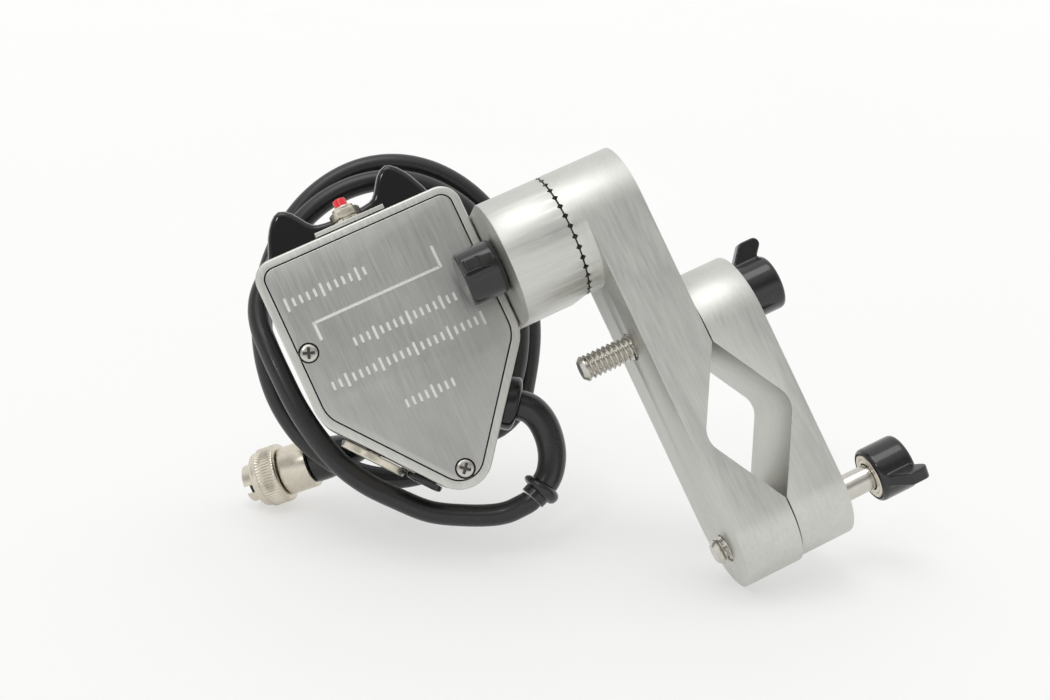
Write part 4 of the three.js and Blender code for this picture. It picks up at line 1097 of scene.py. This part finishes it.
def grooved(shape, face, side):
    """Cuts the ring of V grooves into a swivel face; side points into the metal."""
    half = GROOVE_WIDTH / 2 * (1 + GROOVE_LIP / GROOVE_DEPTH)
    profile = [(-half, -GROOVE_LIP), (half, -GROOVE_LIP), (0, GROOVE_DEPTH)]
    cutters = []
    for i in range(ROSETTE_GROOVES):
        turn = Matrix.Rotation(2 * math.pi * i / ROSETTE_GROOVES, 4, "X")
        groove = lofted([
            [(face + side * depth, along, across) for across, depth in profile]
            for along in (GROOVE_START, ARM_RADIUS + OVERRUN)
        ])
        cutters.append(moved(groove, turn))
    return carved(shape, *cutters)


class LENSCONTROLLER_OT_clamp(bpy.types.Operator):
    """Dresses the swivel bracket and the two jaws"""

    bl_idname = "lens_controller.clamp"
    bl_label = "Clamp and bracket"

    def execute(self, context):
        jaw = bar_along_x([
            (BOSS_FACE, stadium(0, 0)), (ARM_FACE, stadium(0, 0)),
            (ARM_FACE, stadium(0, -ARM_LENGTH)), (PARTING_FACE, stadium(0, -ARM_LENGTH)),
        ])
        jaw = soften(carved(jaw, notch(PARTING_FACE, -1), *map(bore, (0, *CLAMP_SCREW_DROPS))), EDGE_WIDTH)
        jaw = grooved(jaw, BOSS_FACE, 1)
        add_piece("front_jaw", jaw, "machined_aluminium", "clamp_front_jaw", body="clamp")
        outline = stadium(-REAR_JAW_TOP_DROP, -ARM_LENGTH + REAR_JAW_FOOT_RISE)
        jaw = bar_along_x([(REAR_JAW_FACE, outline), (REAR_JAW_BACK, outline)])
        jaw = soften(carved(jaw, notch(REAR_JAW_FACE, 1), *map(bore, CLAMP_SCREW_DROPS)), EDGE_WIDTH)
        add_piece("rear_jaw", jaw, "machined_aluminium", "clamp_rear_jaw", body="rear_jaw")
        self.bracket()
        return {"FINISHED"}

    def bracket(self):
        """The grooved barrel, square where it meets the head."""
        corners = [(BRACKET_REACH, ARM_RADIUS), (-ARM_RADIUS, ARM_RADIUS)]
        corners += [(y, -z) for y, z in reversed(corners)]
        radii = (BRACKET_CORNER_RADIUS, ARM_RADIUS, ARM_RADIUS, BRACKET_CORNER_RADIUS)
        outline = rounded(corners, radii, (CORNER_STEPS, QUARTER_STEPS, QUARTER_STEPS, CORNER_STEPS))
        holes = [bore(0)]
        for z in (BRACKET_SCREW_SPREAD, -BRACKET_SCREW_SPREAD):
            hole = rod(BRACKET_SCREW_HOLE, -BRACKET_FACE, BRACKET_SCREW_END)
            holes.append(moved(hole, aimed((0, BRACKET_SCREW_DEPTH, z), (1, 0, 0))))
        shape = carved(bar_along_x([(BRACKET_LEFT, outline), (BRACKET_FACE, outline)]), *holes)
        shape = grooved(soften(shape, EDGE_WIDTH), BRACKET_FACE, -1)
        add_piece("hub_bracket", shape, "bar_aluminium", "swivel_bracket")


# Screws and wing knobs, made along z with the knob's front face at zero

SCREW_RADIUS = 3.175
SCREW_CHAMFER = 0.9
SCREW_GRIP = 6.4
SCREW_DOG = 1.3
SCREW_STEP = 0.16
SCREW_SIDES = 40
CHAMFER_STEPS = 3
THREAD_END = -16.0
THREAD_LEAST_RADIUS = 0.6
# Screw length, place, way out, way the wing points, turning body, shifting body, the wing's reach
KNOB_SETS = {
    "upper_clamp": (42.0, (48.24, 0, -30.5), (1, 0, 0), (0, 0, 1), "upper_turn", "upper_turn", 11.4),
    "lower_clamp": (42.0, (58.44, 0, -82.5), (1, 0, 0), (0, -1, -0.3), "lower_turn", "lower_shift", 11.4),
    "hub": (30.6, (-0.6, 0, 0), (-1, 0, 0), (0, -1, 0.2), "hub_turn", "hub_shift", 9.9),
}
KNOB_RADIUS = 6.75
KNOB_LENGTH = 9.5
KNOB_EDGE = 0.9
KNOB_SIDES = 72
KNOB_BODY = [
    (0, 0), (KNOB_RADIUS - KNOB_EDGE, 0), (KNOB_RADIUS - KNOB_EDGE * 0.3, KNOB_EDGE * 0.3),
    (KNOB_RADIUS, KNOB_EDGE), (KNOB_RADIUS, KNOB_LENGTH - KNOB_EDGE),
    (KNOB_RADIUS - KNOB_EDGE * 0.3, KNOB_LENGTH - KNOB_EDGE * 0.3), (KNOB_RADIUS - KNOB_EDGE, KNOB_LENGTH),
    (0, KNOB_LENGTH),
]
WING_START = 5.0
WING_ROOT = (0.3, 6.6)
WING_TIP = (5.4, 11.9)
WING_RADII = (0.0, 1.5, 1.5, 0.0)
WING_HALF_WIDTH = 1.55
KNOB_VOXEL = 0.24
KNOB_SMOOTHING = {"factor": 0.5, "iterations": 8}
SEAT_RADIUS = 5.9
SEAT_DEPTH = 1.1
RING_PROFILE = [
    (3.5, 0.8), (3.5, 0), (4.3, 0), (4.45, 0.25), (4.6, 0), (5.2, 0), (5.35, 0.25), (5.5, 0.1), (5.6, 0.3),
    (5.6, 0.8), (3.5, 0.8),
]


def threaded_rod(name, length, sizes):
    start = -length + SCREW_CHAMFER
    rows = [(0, -length), (SCREW_RADIUS - SCREW_CHAMFER, -length)]
    for k in range(1, CHAMFER_STEPS + 1):
        way = k / CHAMFER_STEPS
        rows.append((SCREW_RADIUS - SCREW_CHAMFER * (1 - way), -length + SCREW_CHAMFER * way))
    steps = round((THREAD_END - start) / SCREW_STEP)
    rows += [(SCREW_RADIUS, start + (THREAD_END - start) * k / steps) for k in range(1, steps + 1)]
    rows += [(SCREW_RADIUS, SCREW_GRIP), (0, SCREW_GRIP)]
    return grown(loose(name, turned(rows, SCREW_SIDES)), grooves_tree(), {
        "Grooves around": -1.0, "Grooves per length": MM / sizes.pitch, "Depth": sizes.depth / MM,
        "From": SCREW_DOG - length, "To": THREAD_END, "Least radius": THREAD_LEAST_RADIUS,
        "Finish": finish("stainless"),
    })


def wing_knob(reach):
    """A round body and its wing that leans back, run together with soft fillets as moulded plastic is."""
    corners = [
        (WING_START, WING_ROOT[0]), (reach, WING_TIP[0]), (reach, WING_TIP[1]), (WING_START, WING_ROOT[1]),
    ]
    outline = rounded(corners, WING_RADII, (1, CORNER_STEPS, CORNER_STEPS, 1))
    sides = (-WING_HALF_WIDTH, WING_HALF_WIDTH)
    wing = lofted([[(out, across, back) for out, back in outline] for across in sides])
    whole = carved(turned(KNOB_BODY, KNOB_SIDES), wing, operation="UNION")
    whole = with_modifier(whole, "REMESH", {"mode": "VOXEL", "voxel_size": KNOB_VOXEL})
    whole = with_modifier(whole, "SMOOTH", KNOB_SMOOTHING)
    seat = rod(SEAT_RADIUS, -OVERRUN, SEAT_DEPTH)
    return carved(whole, seat, rod(SCREW_RADIUS + FIT, -OVERRUN, SCREW_GRIP + FIT))


class LENSCONTROLLER_OT_knobs(bpy.types.Operator):
    """Makes the three screws with their wing knobs and rings"""

    bl_idname = "lens_controller.knobs"
    bl_label = "Screws and knobs"

    def execute(self, context):
        sizes = context.scene.lens_controller.screws
        for name, (length, place, way, across, turning, shifting, reach) in KNOB_SETS.items():
            stand = aimed(place, way, across)
            screw = threaded_rod(f"{name}_thread", length, sizes)
            add_piece(f"{name}_thread", screw, "stainless", f"{name}_screw", stand, turning)
            knob = wing_knob(reach)
            add_piece(f"{name}_wing", knob, "knob_black", f"{name}_knob", stand, turning, 50.0)
            ring = turned(RING_PROFILE)
            add_piece(f"{name}_collar", ring, "nickel", f"{name}_knob_ring", stand, shifting)
        return {"FINISHED"}


# The head: housing, panel, engraved marks and panel screws

PANEL_SCREW_EDGE = HEAD_WIDTH / 2 - HEAD_WALL - FIT - PANEL_SCREW_INSET
TIP_HALF_ANGLE = math.atan2(HEAD_WIDTH / 2, HEAD_TIP_DROP - HEAD_SHOULDER_DROP)
PANEL_SCREW_PLACES = [
    (HEAD_CENTRE_X - PANEL_SCREW_EDGE, PANEL_SCREW_HEIGHT),
    (HEAD_CENTRE_X + PANEL_SCREW_EDGE, PANEL_SCREW_HEIGHT),
    (HEAD_CENTRE_X, -HEAD_TIP_DROP + PANEL_SCREW_WALL_DISTANCE / math.sin(TIP_HALF_ANGLE)),
]
PANEL_SCREW_TURNS = (0.35, 1.1, 0.7)
COUNTERSINK = [(0, -1.0), (2.5, -1.0), (2.5, 0.12), (1.7, 1.75), (1.55, 3.0), (0, 3.0)]
SCREW_HEAD = [(0, 0.12), (0.9, 0.08), (1.8, 0.16), (2.1, 0.34), (1.3, 1.4), (1.25, 9.0), (0, 9.0)]
CROSS_HALF_WIDTH = 0.36
CROSS_REACH = 1.4
CROSS_DEPTH = 1.2
CROSS_FRONT = -1.0
SINK_SIDES = 48
ROCKER_RADIUS = 22.3
ROCKER_FRONT = 19.6
ROCKER_THICKNESS = 11.0
SLOT_MARGIN = 0.5
BUTTON_DEPTH = 15.8
BUSHING_RADIUS = 2.7
WALL_HOLES = ((-1, 14.8, 2.7), (-1, 28.4, 3.0), (1, 17.0, 4.0))
HOLE_DEPTH = 4.0
POST_RADIUS = 2.7
POST_SIDES = 24
HOUSING_EDGE = 0.55
PANEL_EDGE = 0.2

# How deep the marks are cut and filled, and their ends, (x, z) on the panel
MARK_FRONT = -1.0
MARK_DEPTH = 0.28
MARK_FLOOR = 0.16
MARK_BURIED = 0.4
MARK_LENGTH = 2.2
MARK_WIDTH_SHARE = 0.9
LONG_MARK = 1.6
PANEL_LINES = [
    ((-45.0, 6.5), (-12.0, 6.5)),
    ((-45.0, 6.9), (-45.0, 2.0)),
    ((-12.0, 6.1), (-12.0, 12.0)),
]
PANEL_SCALES = [
    ((-49.0, 13.0), (-29.0, 13.0)),
    ((-38.0, -1.5), (-12.0, -1.5)),
    ((-47.0, -9.0), (-8.0, -9.0)),
    ((-33.0, -20.0), (-21.0, -20.0)),
]


def backwards(x, depth, z):
    return aimed((x, depth, z), (0, 1, 0), (1, 0, 0))


def housing_shape():
    """The box with its open front, slot, holes and screw posts."""
    inside = lofted([
        [(x, depth, z) for x, z in head_outline(HEAD_WALL)]
        for depth in (HEAD_FRONT - OVERRUN, HEAD_BACK - HEAD_WALL)
    ])
    half = ROCKER_RADIUS + SLOT_MARGIN
    slot = block(
        (HEAD_CENTRE_X - half, ROCKER_FRONT - FIT, HEAD_TOP - HEAD_WALL - OVERRUN),
        (HEAD_CENTRE_X + half, ROCKER_FRONT + ROCKER_THICKNESS + FIT, HEAD_TOP + OVERRUN),
    )
    button = Matrix.Translation((HEAD_CENTRE_X, BUTTON_DEPTH, HEAD_TOP))
    holes = [moved(rod(BUSHING_RADIUS + FIT, -HOLE_DEPTH, HOLE_DEPTH), button)]
    for side, place, radius in WALL_HOLES:
        point, outward, down = slant(side, place)
        holes.append(moved(rod(radius + FIT, -HOLE_DEPTH, OVERRUN), aimed(point, outward)))
    shell = carved(slab(head_outline, HEAD_FRONT, HEAD_BACK, HOUSING_EDGE), inside)
    shell = carved(shell, slot, *holes)
    post_length = HEAD_DEPTH - PANEL_THICKNESS - HEAD_WALL
    post_front = HEAD_FRONT + PANEL_THICKNESS + FIT
    posts = [
        moved(rod(POST_RADIUS, 0, post_length, POST_SIDES), backwards(x, post_front, z))
        for x, z in PANEL_SCREW_PLACES
    ]
    return gathered(shell, *posts)


def screw_head():
    """A countersunk screw with its crossed recess."""
    recessed = turned(SCREW_HEAD, SCREW_SIDES)
    for x, y in ((CROSS_REACH, CROSS_HALF_WIDTH), (CROSS_HALF_WIDTH, CROSS_REACH)):
        recessed = carved(recessed, block((-x, -y, CROSS_FRONT), (x, y, CROSS_DEPTH)))
    return recessed


class LENSCONTROLLER_OT_head(bpy.types.Operator):
    """Makes the head's housing and its brushed front panel with screws and engraved marks"""

    bl_idname = "lens_controller.head"
    bl_label = "Head and panel"

    def execute(self, context):
        add_piece("housing", housing_shape(), "machined_aluminium", "head_housing")
        sizes = context.scene.lens_controller.marks
        back = HEAD_FRONT + PANEL_THICKNESS
        plate = slab(lambda inset: head_outline(HEAD_WALL + FIT + inset), HEAD_FRONT, back, PANEL_EDGE)
        sinks = [
            moved(turned(COUNTERSINK, SINK_SIDES), backwards(x, HEAD_FRONT, z)) for x, z in PANEL_SCREW_PLACES
        ]
        plate = carved(carved(plate, *sinks), self.scales(sizes, MARK_FRONT, MARK_DEPTH))
        for groove in self.lines(sizes, MARK_FRONT, MARK_DEPTH):
            plate = carved(plate, groove)
        add_piece("panel", plate, "brushed_panel", "front_panel")
        lines = gathered(*self.lines(sizes, MARK_FLOOR, MARK_BURIED))
        add_piece("panel_lines", lines, "frosted_marks")
        scales = self.scales(sizes, MARK_FLOOR, MARK_BURIED)
        add_piece("panel_scales", scales, "frosted_marks")
        places = [(x, -z) for x, z in PANEL_SCREW_PLACES]
        add_copies(
            "panel_screws", screw_head(), places, PANEL_SCREW_TURNS, "recessed_stainless", "panel_screw_",
            backwards(0, HEAD_FRONT, 0),
        )
        return {"FINISHED"}

    def lines(self, sizes, front, back):
        """A divider with two short ends, between two depths."""
        half_stroke = sizes.stroke / MM / 2
        bars = []
        for (x0, z0), (x1, z1) in PANEL_LINES:
            centre = Matrix.Translation(((x0 + x1) / 2, HEAD_FRONT, (z0 + z1) / 2))
            turn = Matrix.Rotation(-math.atan2(z1 - z0, x1 - x0), 4, "Y")
            half = math.hypot(x1 - x0, z1 - z0) / 2
            bars.append(moved(block((-half, front, -half_stroke), (half, back, half_stroke)), centre @ turn))
        return bars

    def scales(self, sizes, front, back):
        """Rows of scale marks, between two depths."""
        points = [(x, HEAD_FRONT + (front + back) / 2, z) for line in PANEL_SCALES for x, z in line]
        scales = bare("scales", points, [(k, k + 1) for k in range(0, len(points), 2)])
        mark = (sizes.stroke / MM * MARK_WIDTH_SHARE, back - front, MARK_LENGTH)
        grown(scales, ruled_tree(), {
            "Step": sizes.step / MM, "Mark": mark, "Long mark": LONG_MARK, "Finish": finish("frosted_marks"),
        })
        shape = bmesh.new()
        shape.from_mesh(scales.data)
        bpy.data.objects.remove(scales)
        return shape


# The zoom rocker

ROCKER_EDGE_RADIUS = 1.5
ROCKER_EDGE_STEPS = 6
ROCKER_ROUNDED_BELOW = 1.8
ROCKER_INSIDE_BELOW = 0.5
ROCKER_SHORT_EDGE = 0.15
ROCKER_SPARE = 0.01
ROCKER_FLAT_AREA = 12.0
FACING_FRONT = -0.99


def keep_flat(mesh, least_area):
    """Shades large flat faces flat right up to the rounding around them."""
    for polygon in mesh.polygons:
        if polygon.area > least_area * MM * MM:
            for k in polygon.loop_indices:
                mesh.edges[mesh.loops[k].edge_index].use_edge_sharp = True


class LENSCONTROLLER_OT_rocker(bpy.types.Operator):
    """Rounds and polishes the zoom rocker"""

    bl_idname = "lens_controller.rocker"
    bl_label = "Zoom rocker"

    def execute(self, context):
        cap = add_piece(
            "rocker_cap", self.shape(), "edged_black", "zoom_rocker", body="rocker",
            crease=60.0,
        )
        keep_flat(cap.data, ROCKER_FLAT_AREA)
        return {"FINISHED"}

    def shape(self):
        """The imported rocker, its front and back edges rounded where they stand out of the housing."""
        whole = packed_shape("zoom_rocker")
        plain = whole.copy()
        bmesh.ops.remove_doubles(plain, verts=plain.verts, dist=ROCKER_SHORT_EDGE)
        fronts = [face for face in plain.faces if face.normal.y < FACING_FRONT]
        front = max(fronts, key=lambda face: face.calc_area())
        corners = [Vector((vert.co.x, vert.co.z)) for vert in front.verts]
        low = HEAD_TOP - ROCKER_ROUNDED_BELOW

        def outline(inset):
            shown = inset_corners(corners, inset - ROCKER_SPARE)
            hidden = inset_corners(corners, -ROCKER_EDGE_RADIUS)
            return [a if corner.y > low else b for corner, a, b in zip(corners, shown, hidden)]

        back = ROCKER_FRONT + ROCKER_THICKNESS + ROCKER_SPARE
        rounding = slab(outline, ROCKER_FRONT - ROCKER_SPARE, back, ROCKER_EDGE_RADIUS, ROCKER_EDGE_STEPS)
        inside = block(
            (HEAD_CENTRE_X - HEAD_WIDTH, ROCKER_FRONT - HEAD_WALL, -HEAD_TIP_DROP),
            (HEAD_CENTRE_X + HEAD_WIDTH, back + HEAD_WALL, low - ROCKER_INSIDE_BELOW),
        )
        return carved(whole, carved(rounding, inside, operation="UNION"), operation="INTERSECT")


# The record button, upwards from the housing's top

PLATE_TOP = 1.4
PLATE_EDGE = 0.25
CAP_PROFILE = [
    (0, -6.7), (2.7, -6.7), (2.7, -5.8), (1.6, -5.8), (1.65, 7.1), (1.5, 7.4), (1.1, 7.55), (0, 7.6),
]
BUSHING_PROFILE = [
    (1.95, -5.5), (2.5, -5.5), (2.7, -5.3), (2.7, 5.1), (2.5, 5.4), (2.05, 5.4), (1.95, 5.2), (1.95, -5.5),
]
NUT_FLATS = 6.8
NUT_LOW = PLATE_TOP + 1.1
NUT_HIGH = PLATE_TOP + 3.1
NUT_CORNER_DROP = 0.35
NUT_EDGE = 0.12
NUT_OVERRUN = 1.0


def hexagon_nut():
    """A nut whose six corners are taken off by a cone, top and bottom."""
    corner = NUT_FLATS / math.sqrt(3)
    angles = [math.pi * k / 3 for k in range(6)]
    ring = [(corner * math.cos(a), corner * math.sin(a)) for a in angles]
    body = lofted([[(x, y, z) for x, y in ring] for z in (NUT_LOW, NUT_HIGH)])
    cone = turned([
        (0, NUT_LOW), (NUT_FLATS / 2, NUT_LOW), (corner, NUT_LOW + NUT_CORNER_DROP),
        (corner, NUT_HIGH - NUT_CORNER_DROP), (NUT_FLATS / 2, NUT_HIGH), (0, NUT_HIGH),
    ], 48)
    hole = rod(BUSHING_RADIUS + FIT, NUT_LOW - NUT_OVERRUN, NUT_HIGH + NUT_OVERRUN)
    return carved(carved(body, cone, operation="INTERSECT"), hole)


class LENSCONTROLLER_OT_button(bpy.types.Operator):
    """Makes the record button, its bushing, nut, washer and plate"""

    bl_idname = "lens_controller.button"
    bl_label = "Record button"

    def execute(self, context):
        stand = Matrix.Translation((HEAD_CENTRE_X, BUTTON_DEPTH, HEAD_TOP))
        add_piece("button_cap", turned(CAP_PROFILE), "red_plastic", "record_button", stand, "button")
        add_piece("bushing", turned(BUSHING_PROFILE), "nickel", "button_bushing", stand)
        add_piece("bushing_nut", soften(hexagon_nut(), NUT_EDGE), "nickel", "button_nut", stand)
        add_piece("star_washer", packed_shape("button_washer"), "nickel", "button_washer")
        plate = soften(packed_shape("button_plate"), PLATE_EDGE)
        add_piece("plate", plate, "machined_aluminium", "button_plate")
        return {"FINISHED"}


# Pieces on the slanting walls, outwards from the wall

WALL_SIDES = 80
DIAL_PROFILE = [
    (0, -6.0), (1.5, -6.0), (1.5, 0.5), (7.9, 0.5), (8.3, 0.6), (8.5, 0.9), (8.5, 2.0), (8.3, 2.3),
    (7.9, 2.4), (7.2, 2.4), (6.9, 2.2), (6.6, 2.4), (0, 2.4),
]
PLUG_PROFILE = [
    (0, -3.5), (3.0, -3.5), (3.7, -2.6), (3.7, -2.3), (3.0, -2.3), (3.0, 0.3), (4.5, 0.3), (4.7, 0.5),
    (4.7, 1.2), (4.5, 1.6), (4.0, 1.8), (3.0, 1.9), (0, 1.9),
]
COLLAR_PROFILE = [
    (0, -5.2), (4.0, -5.2), (4.0, 0.3), (6.5, 0.3), (6.75, 0.45), (6.8, 0.8), (6.8, 2.3), (6.7, 2.8),
    (6.4, 3.25), (6.0, 3.5), (5.5, 3.65), (4.7, 3.7), (0, 3.7),
]


class LENSCONTROLLER_OT_walls(bpy.types.Operator):
    """Makes the speed dial, the rubber plug and the collar of the cable gland"""

    bl_idname = "lens_controller.walls"
    bl_label = "Dial, plug and gland"

    def execute(self, context):
        for name, profile, (side, place, radius), look, body, node in (
            ("dial", DIAL_PROFILE, WALL_HOLES[0], "nickel", "dial", "speed_dial"),
            ("plug", PLUG_PROFILE, WALL_HOLES[1], "rubber_black", "head", "rubber_plug"),
            ("collar", COLLAR_PROFILE, WALL_HOLES[2], "gloss_black", "head", "gland_collar"),
        ):
            point, outward, down = slant(side, place)
            shape = turned(profile, WALL_SIDES)
            add_piece(f"wall_{name}", shape, look, node, aimed(point, outward), body)
        return {"FINISHED"}


# The connector, along its axis from the front of the coupling ring towards the cable

CONNECTOR_SIDES = 80
SHELL_PROFILE = [
    (4.2, -3.0), (4.75, -3.0), (4.95, -2.85), (5.0, -2.6), (5.0, 7.3), (4.6, 7.6), (4.6, 11.2), (4.2, 11.2),
    (4.2, -3.0),
]
KEYWAY = ((-1.1, -7.0, -5.0), (1.1, -3.4, -0.4))
RING_BODY = [
    (5.3, 0.0), (6.5, 0.0), (6.9, 0.15), (7.2, 0.5), (7.3, 0.9), (7.3, 1.8), (7.5, 2.1), (7.9, 2.4),
    (7.9, 7.2), (7.7, 7.5), (7.3, 7.6), (5.3, 7.6), (5.3, 0.0),
]
BARREL_PROFILE = [
    (4.9, 7.9), (6.1, 7.9), (6.4, 8.05), (6.5, 8.35), (6.5, 15.2), (6.4, 15.55), (6.1, 15.7), (4.9, 15.7),
    (4.9, 7.9),
]
SLEEVE_PROFILE = [
    (0, 13.0), (3.8, 13.0), (3.8, 16.0), (5.3, 16.0), (5.6, 16.3), (5.6, 19.6), (5.5, 20.4), (5.2, 22.2),
    (4.6, 25.4), (4.0, 28.2), (3.7, 29.4), (3.5, 29.9), (3.3, 30.0), (0, 30.0),
]
SLEEVE_SIDES = 64
INSERT_RADIUS = 3.9
INSERT_FRONT = -1.8
INSERT_LENGTH = 6.0
PIN_CIRCLE = 2.3
PIN_COUNT = 6
PIN_SIDES = 16
PIN_PROFILE = [(0, -2.6), (0.25, -2.55), (0.45, -2.3), (0.45, 4.5), (0, 4.5)]
PIN_HOLE = (0.6, -4.0, 6.0)
KNURL_FROM = 2.5
KNURL_TO = 7.1
KNURL_MARGIN = 0.2
KNURL_STEPS = 6
LONG_SPAN = 3.0
KNURL_SIDES_PER_RIDGE = 6


class LENSCONTROLLER_OT_connector(bpy.types.Operator):
    """Makes the connector: shell, knurled ring, barrel, insert, pins and sleeve"""

    bl_idname = "lens_controller.connector"
    bl_label = "Connector"

    def execute(self, context):
        stand = aimed(CONNECTOR_PLACE, CONNECTOR_AIM)
        angles = [2 * math.pi * k / PIN_COUNT for k in range(PIN_COUNT)]
        places = [(PIN_CIRCLE * math.cos(a), PIN_CIRCLE * math.sin(a)) for a in angles]
        shell = carved(turned(SHELL_PROFILE, CONNECTOR_SIDES), block(*KEYWAY))
        add_piece("plug_shell", shell, "nickel", "connector_shell", stand)
        ring = self.knurled_ring(context.scene.lens_controller.knurl)
        add_piece("knurled_ring", ring, "nickel", "coupling_ring", stand, "plug_ring", crease=50.0)
        barrel = turned(BARREL_PROFILE, CONNECTOR_SIDES)
        add_piece("plug_barrel", barrel, "nickel", "connector_barrel", stand)
        holes = [moved(rod(*PIN_HOLE, PIN_SIDES), Matrix.Translation((x, y, 0))) for x, y in places]
        insert = carved(rod(INSERT_RADIUS, INSERT_FRONT, INSERT_FRONT + INSERT_LENGTH), *holes)
        add_piece("plug_insert", insert, "satin_black", "connector_insert", stand)
        pin = turned(PIN_PROFILE, PIN_SIDES)
        add_copies("plug_pins", pin, places, [0.0] * PIN_COUNT, "nickel", "connector_pin_", stand)
        sleeve = turned(SLEEVE_PROFILE, SLEEVE_SIDES)
        add_piece("plug_sleeve", sleeve, "rubber_black", "connector_sleeve", stand)
        return {"FINISHED"}

    def knurled_ring(self, sizes):
        """The coupling ring, with enough rows and sides for its ridges."""
        rows = []
        for (radius, height), (to_radius, to_height) in zip(RING_BODY, RING_BODY[1:]):
            steps = KNURL_STEPS if to_height - height > LONG_SPAN else 1
            rows += [
                (radius + (to_radius - radius) * k / steps, height + (to_height - height) * k / steps)
                for k in range(steps)
            ]
        rows.append(RING_BODY[-1])
        ring = loose("ring", turned(rows, sizes.ridges * KNURL_SIDES_PER_RIDGE))
        return grown(ring, grooves_tree(), {
            "Grooves around": float(sizes.ridges), "Grooves per length": 0.0, "Depth": sizes.depth / MM,
            "From": KNURL_FROM, "To": KNURL_TO, "Least radius": RING_RADIUS - KNURL_MARGIN,
            "Finish": finish("nickel"),
        })


# Pieces inside the head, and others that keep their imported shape

KEPT_FINISHES = {
    "circuit_board": "board_green",
    "board_screw": "stainless",
    "bracket_screw": "stainless",
    "rocker_pin": "stainless",
    "rocker_spring": "stainless",
    "rocker_yoke": "stainless",
    "zoom_potentiometer": "satin_black",
    "button_switch": "satin_black",
    "speed_potentiometer": "satin_black",
    "gland_nut": "nickel",
}


class LENSCONTROLLER_OT_inside(bpy.types.Operator):
    """Finishes the pieces inside the head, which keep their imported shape"""

    bl_idname = "lens_controller.inside"
    bl_label = "Inside the head"

    def execute(self, context):
        for name, node in frame["nodes"].items():
            for start, kind in KEPT_FINISHES.items():
                if name.startswith(start):
                    for slot in node.material_slots:
                        slot.material = finish(kind)
        return {"FINISHED"}


OPERATORS = (
    LENSCONTROLLER_OT_studio,
    LENSCONTROLLER_OT_connector,
    LENSCONTROLLER_OT_cable,
    LENSCONTROLLER_OT_clamp,
    LENSCONTROLLER_OT_knobs,
    LENSCONTROLLER_OT_head,
    LENSCONTROLLER_OT_rocker,
    LENSCONTROLLER_OT_button,
    LENSCONTROLLER_OT_walls,
    LENSCONTROLLER_OT_inside,
)


class LENSCONTROLLER_PT_panel(bpy.types.Panel):
    """Lists the steps and the sizes and colours they use"""

    bl_idname = "LENSCONTROLLER_PT_panel"
    bl_label = "Lens controller"
    bl_space_type = "VIEW_3D"
    bl_region_type = "UI"
    bl_category = "Lens controller"

    def draw(self, context):
        steps = self.layout.column(align=True)
        for operator in OPERATORS:
            steps.operator(operator.bl_idname)
        settings = context.scene.lens_controller
        for part in ("cable", "screws", "knurl", "marks", "colours", "light"):
            group = getattr(settings, part)
            box = self.layout.box()
            for name in group.bl_rna.properties.keys():
                if name not in ("rna_type", "name"):
                    box.prop(group, name)


CLASSES = (
    CableSizes,
    ScrewSizes,
    KnurlSizes,
    MarkSizes,
    FinishColours,
    StudioLight,
    LensControllerSettings,
    *OPERATORS,
    LENSCONTROLLER_PT_panel,
)


def register():
    for made in CLASSES:
        bpy.utils.register_class(made)
    bpy.types.Scene.lens_controller = PointerProperty(type=LensControllerSettings)


def unregister():
    del bpy.types.Scene.lens_controller
    for made in reversed(CLASSES):
        bpy.utils.unregister_class(made)


def main():
    register()
    for operator in OPERATORS:
        group, name = operator.bl_idname.split(".")
        getattr(getattr(bpy.ops, group), name)()


if __name__ == "__main__":
    main()
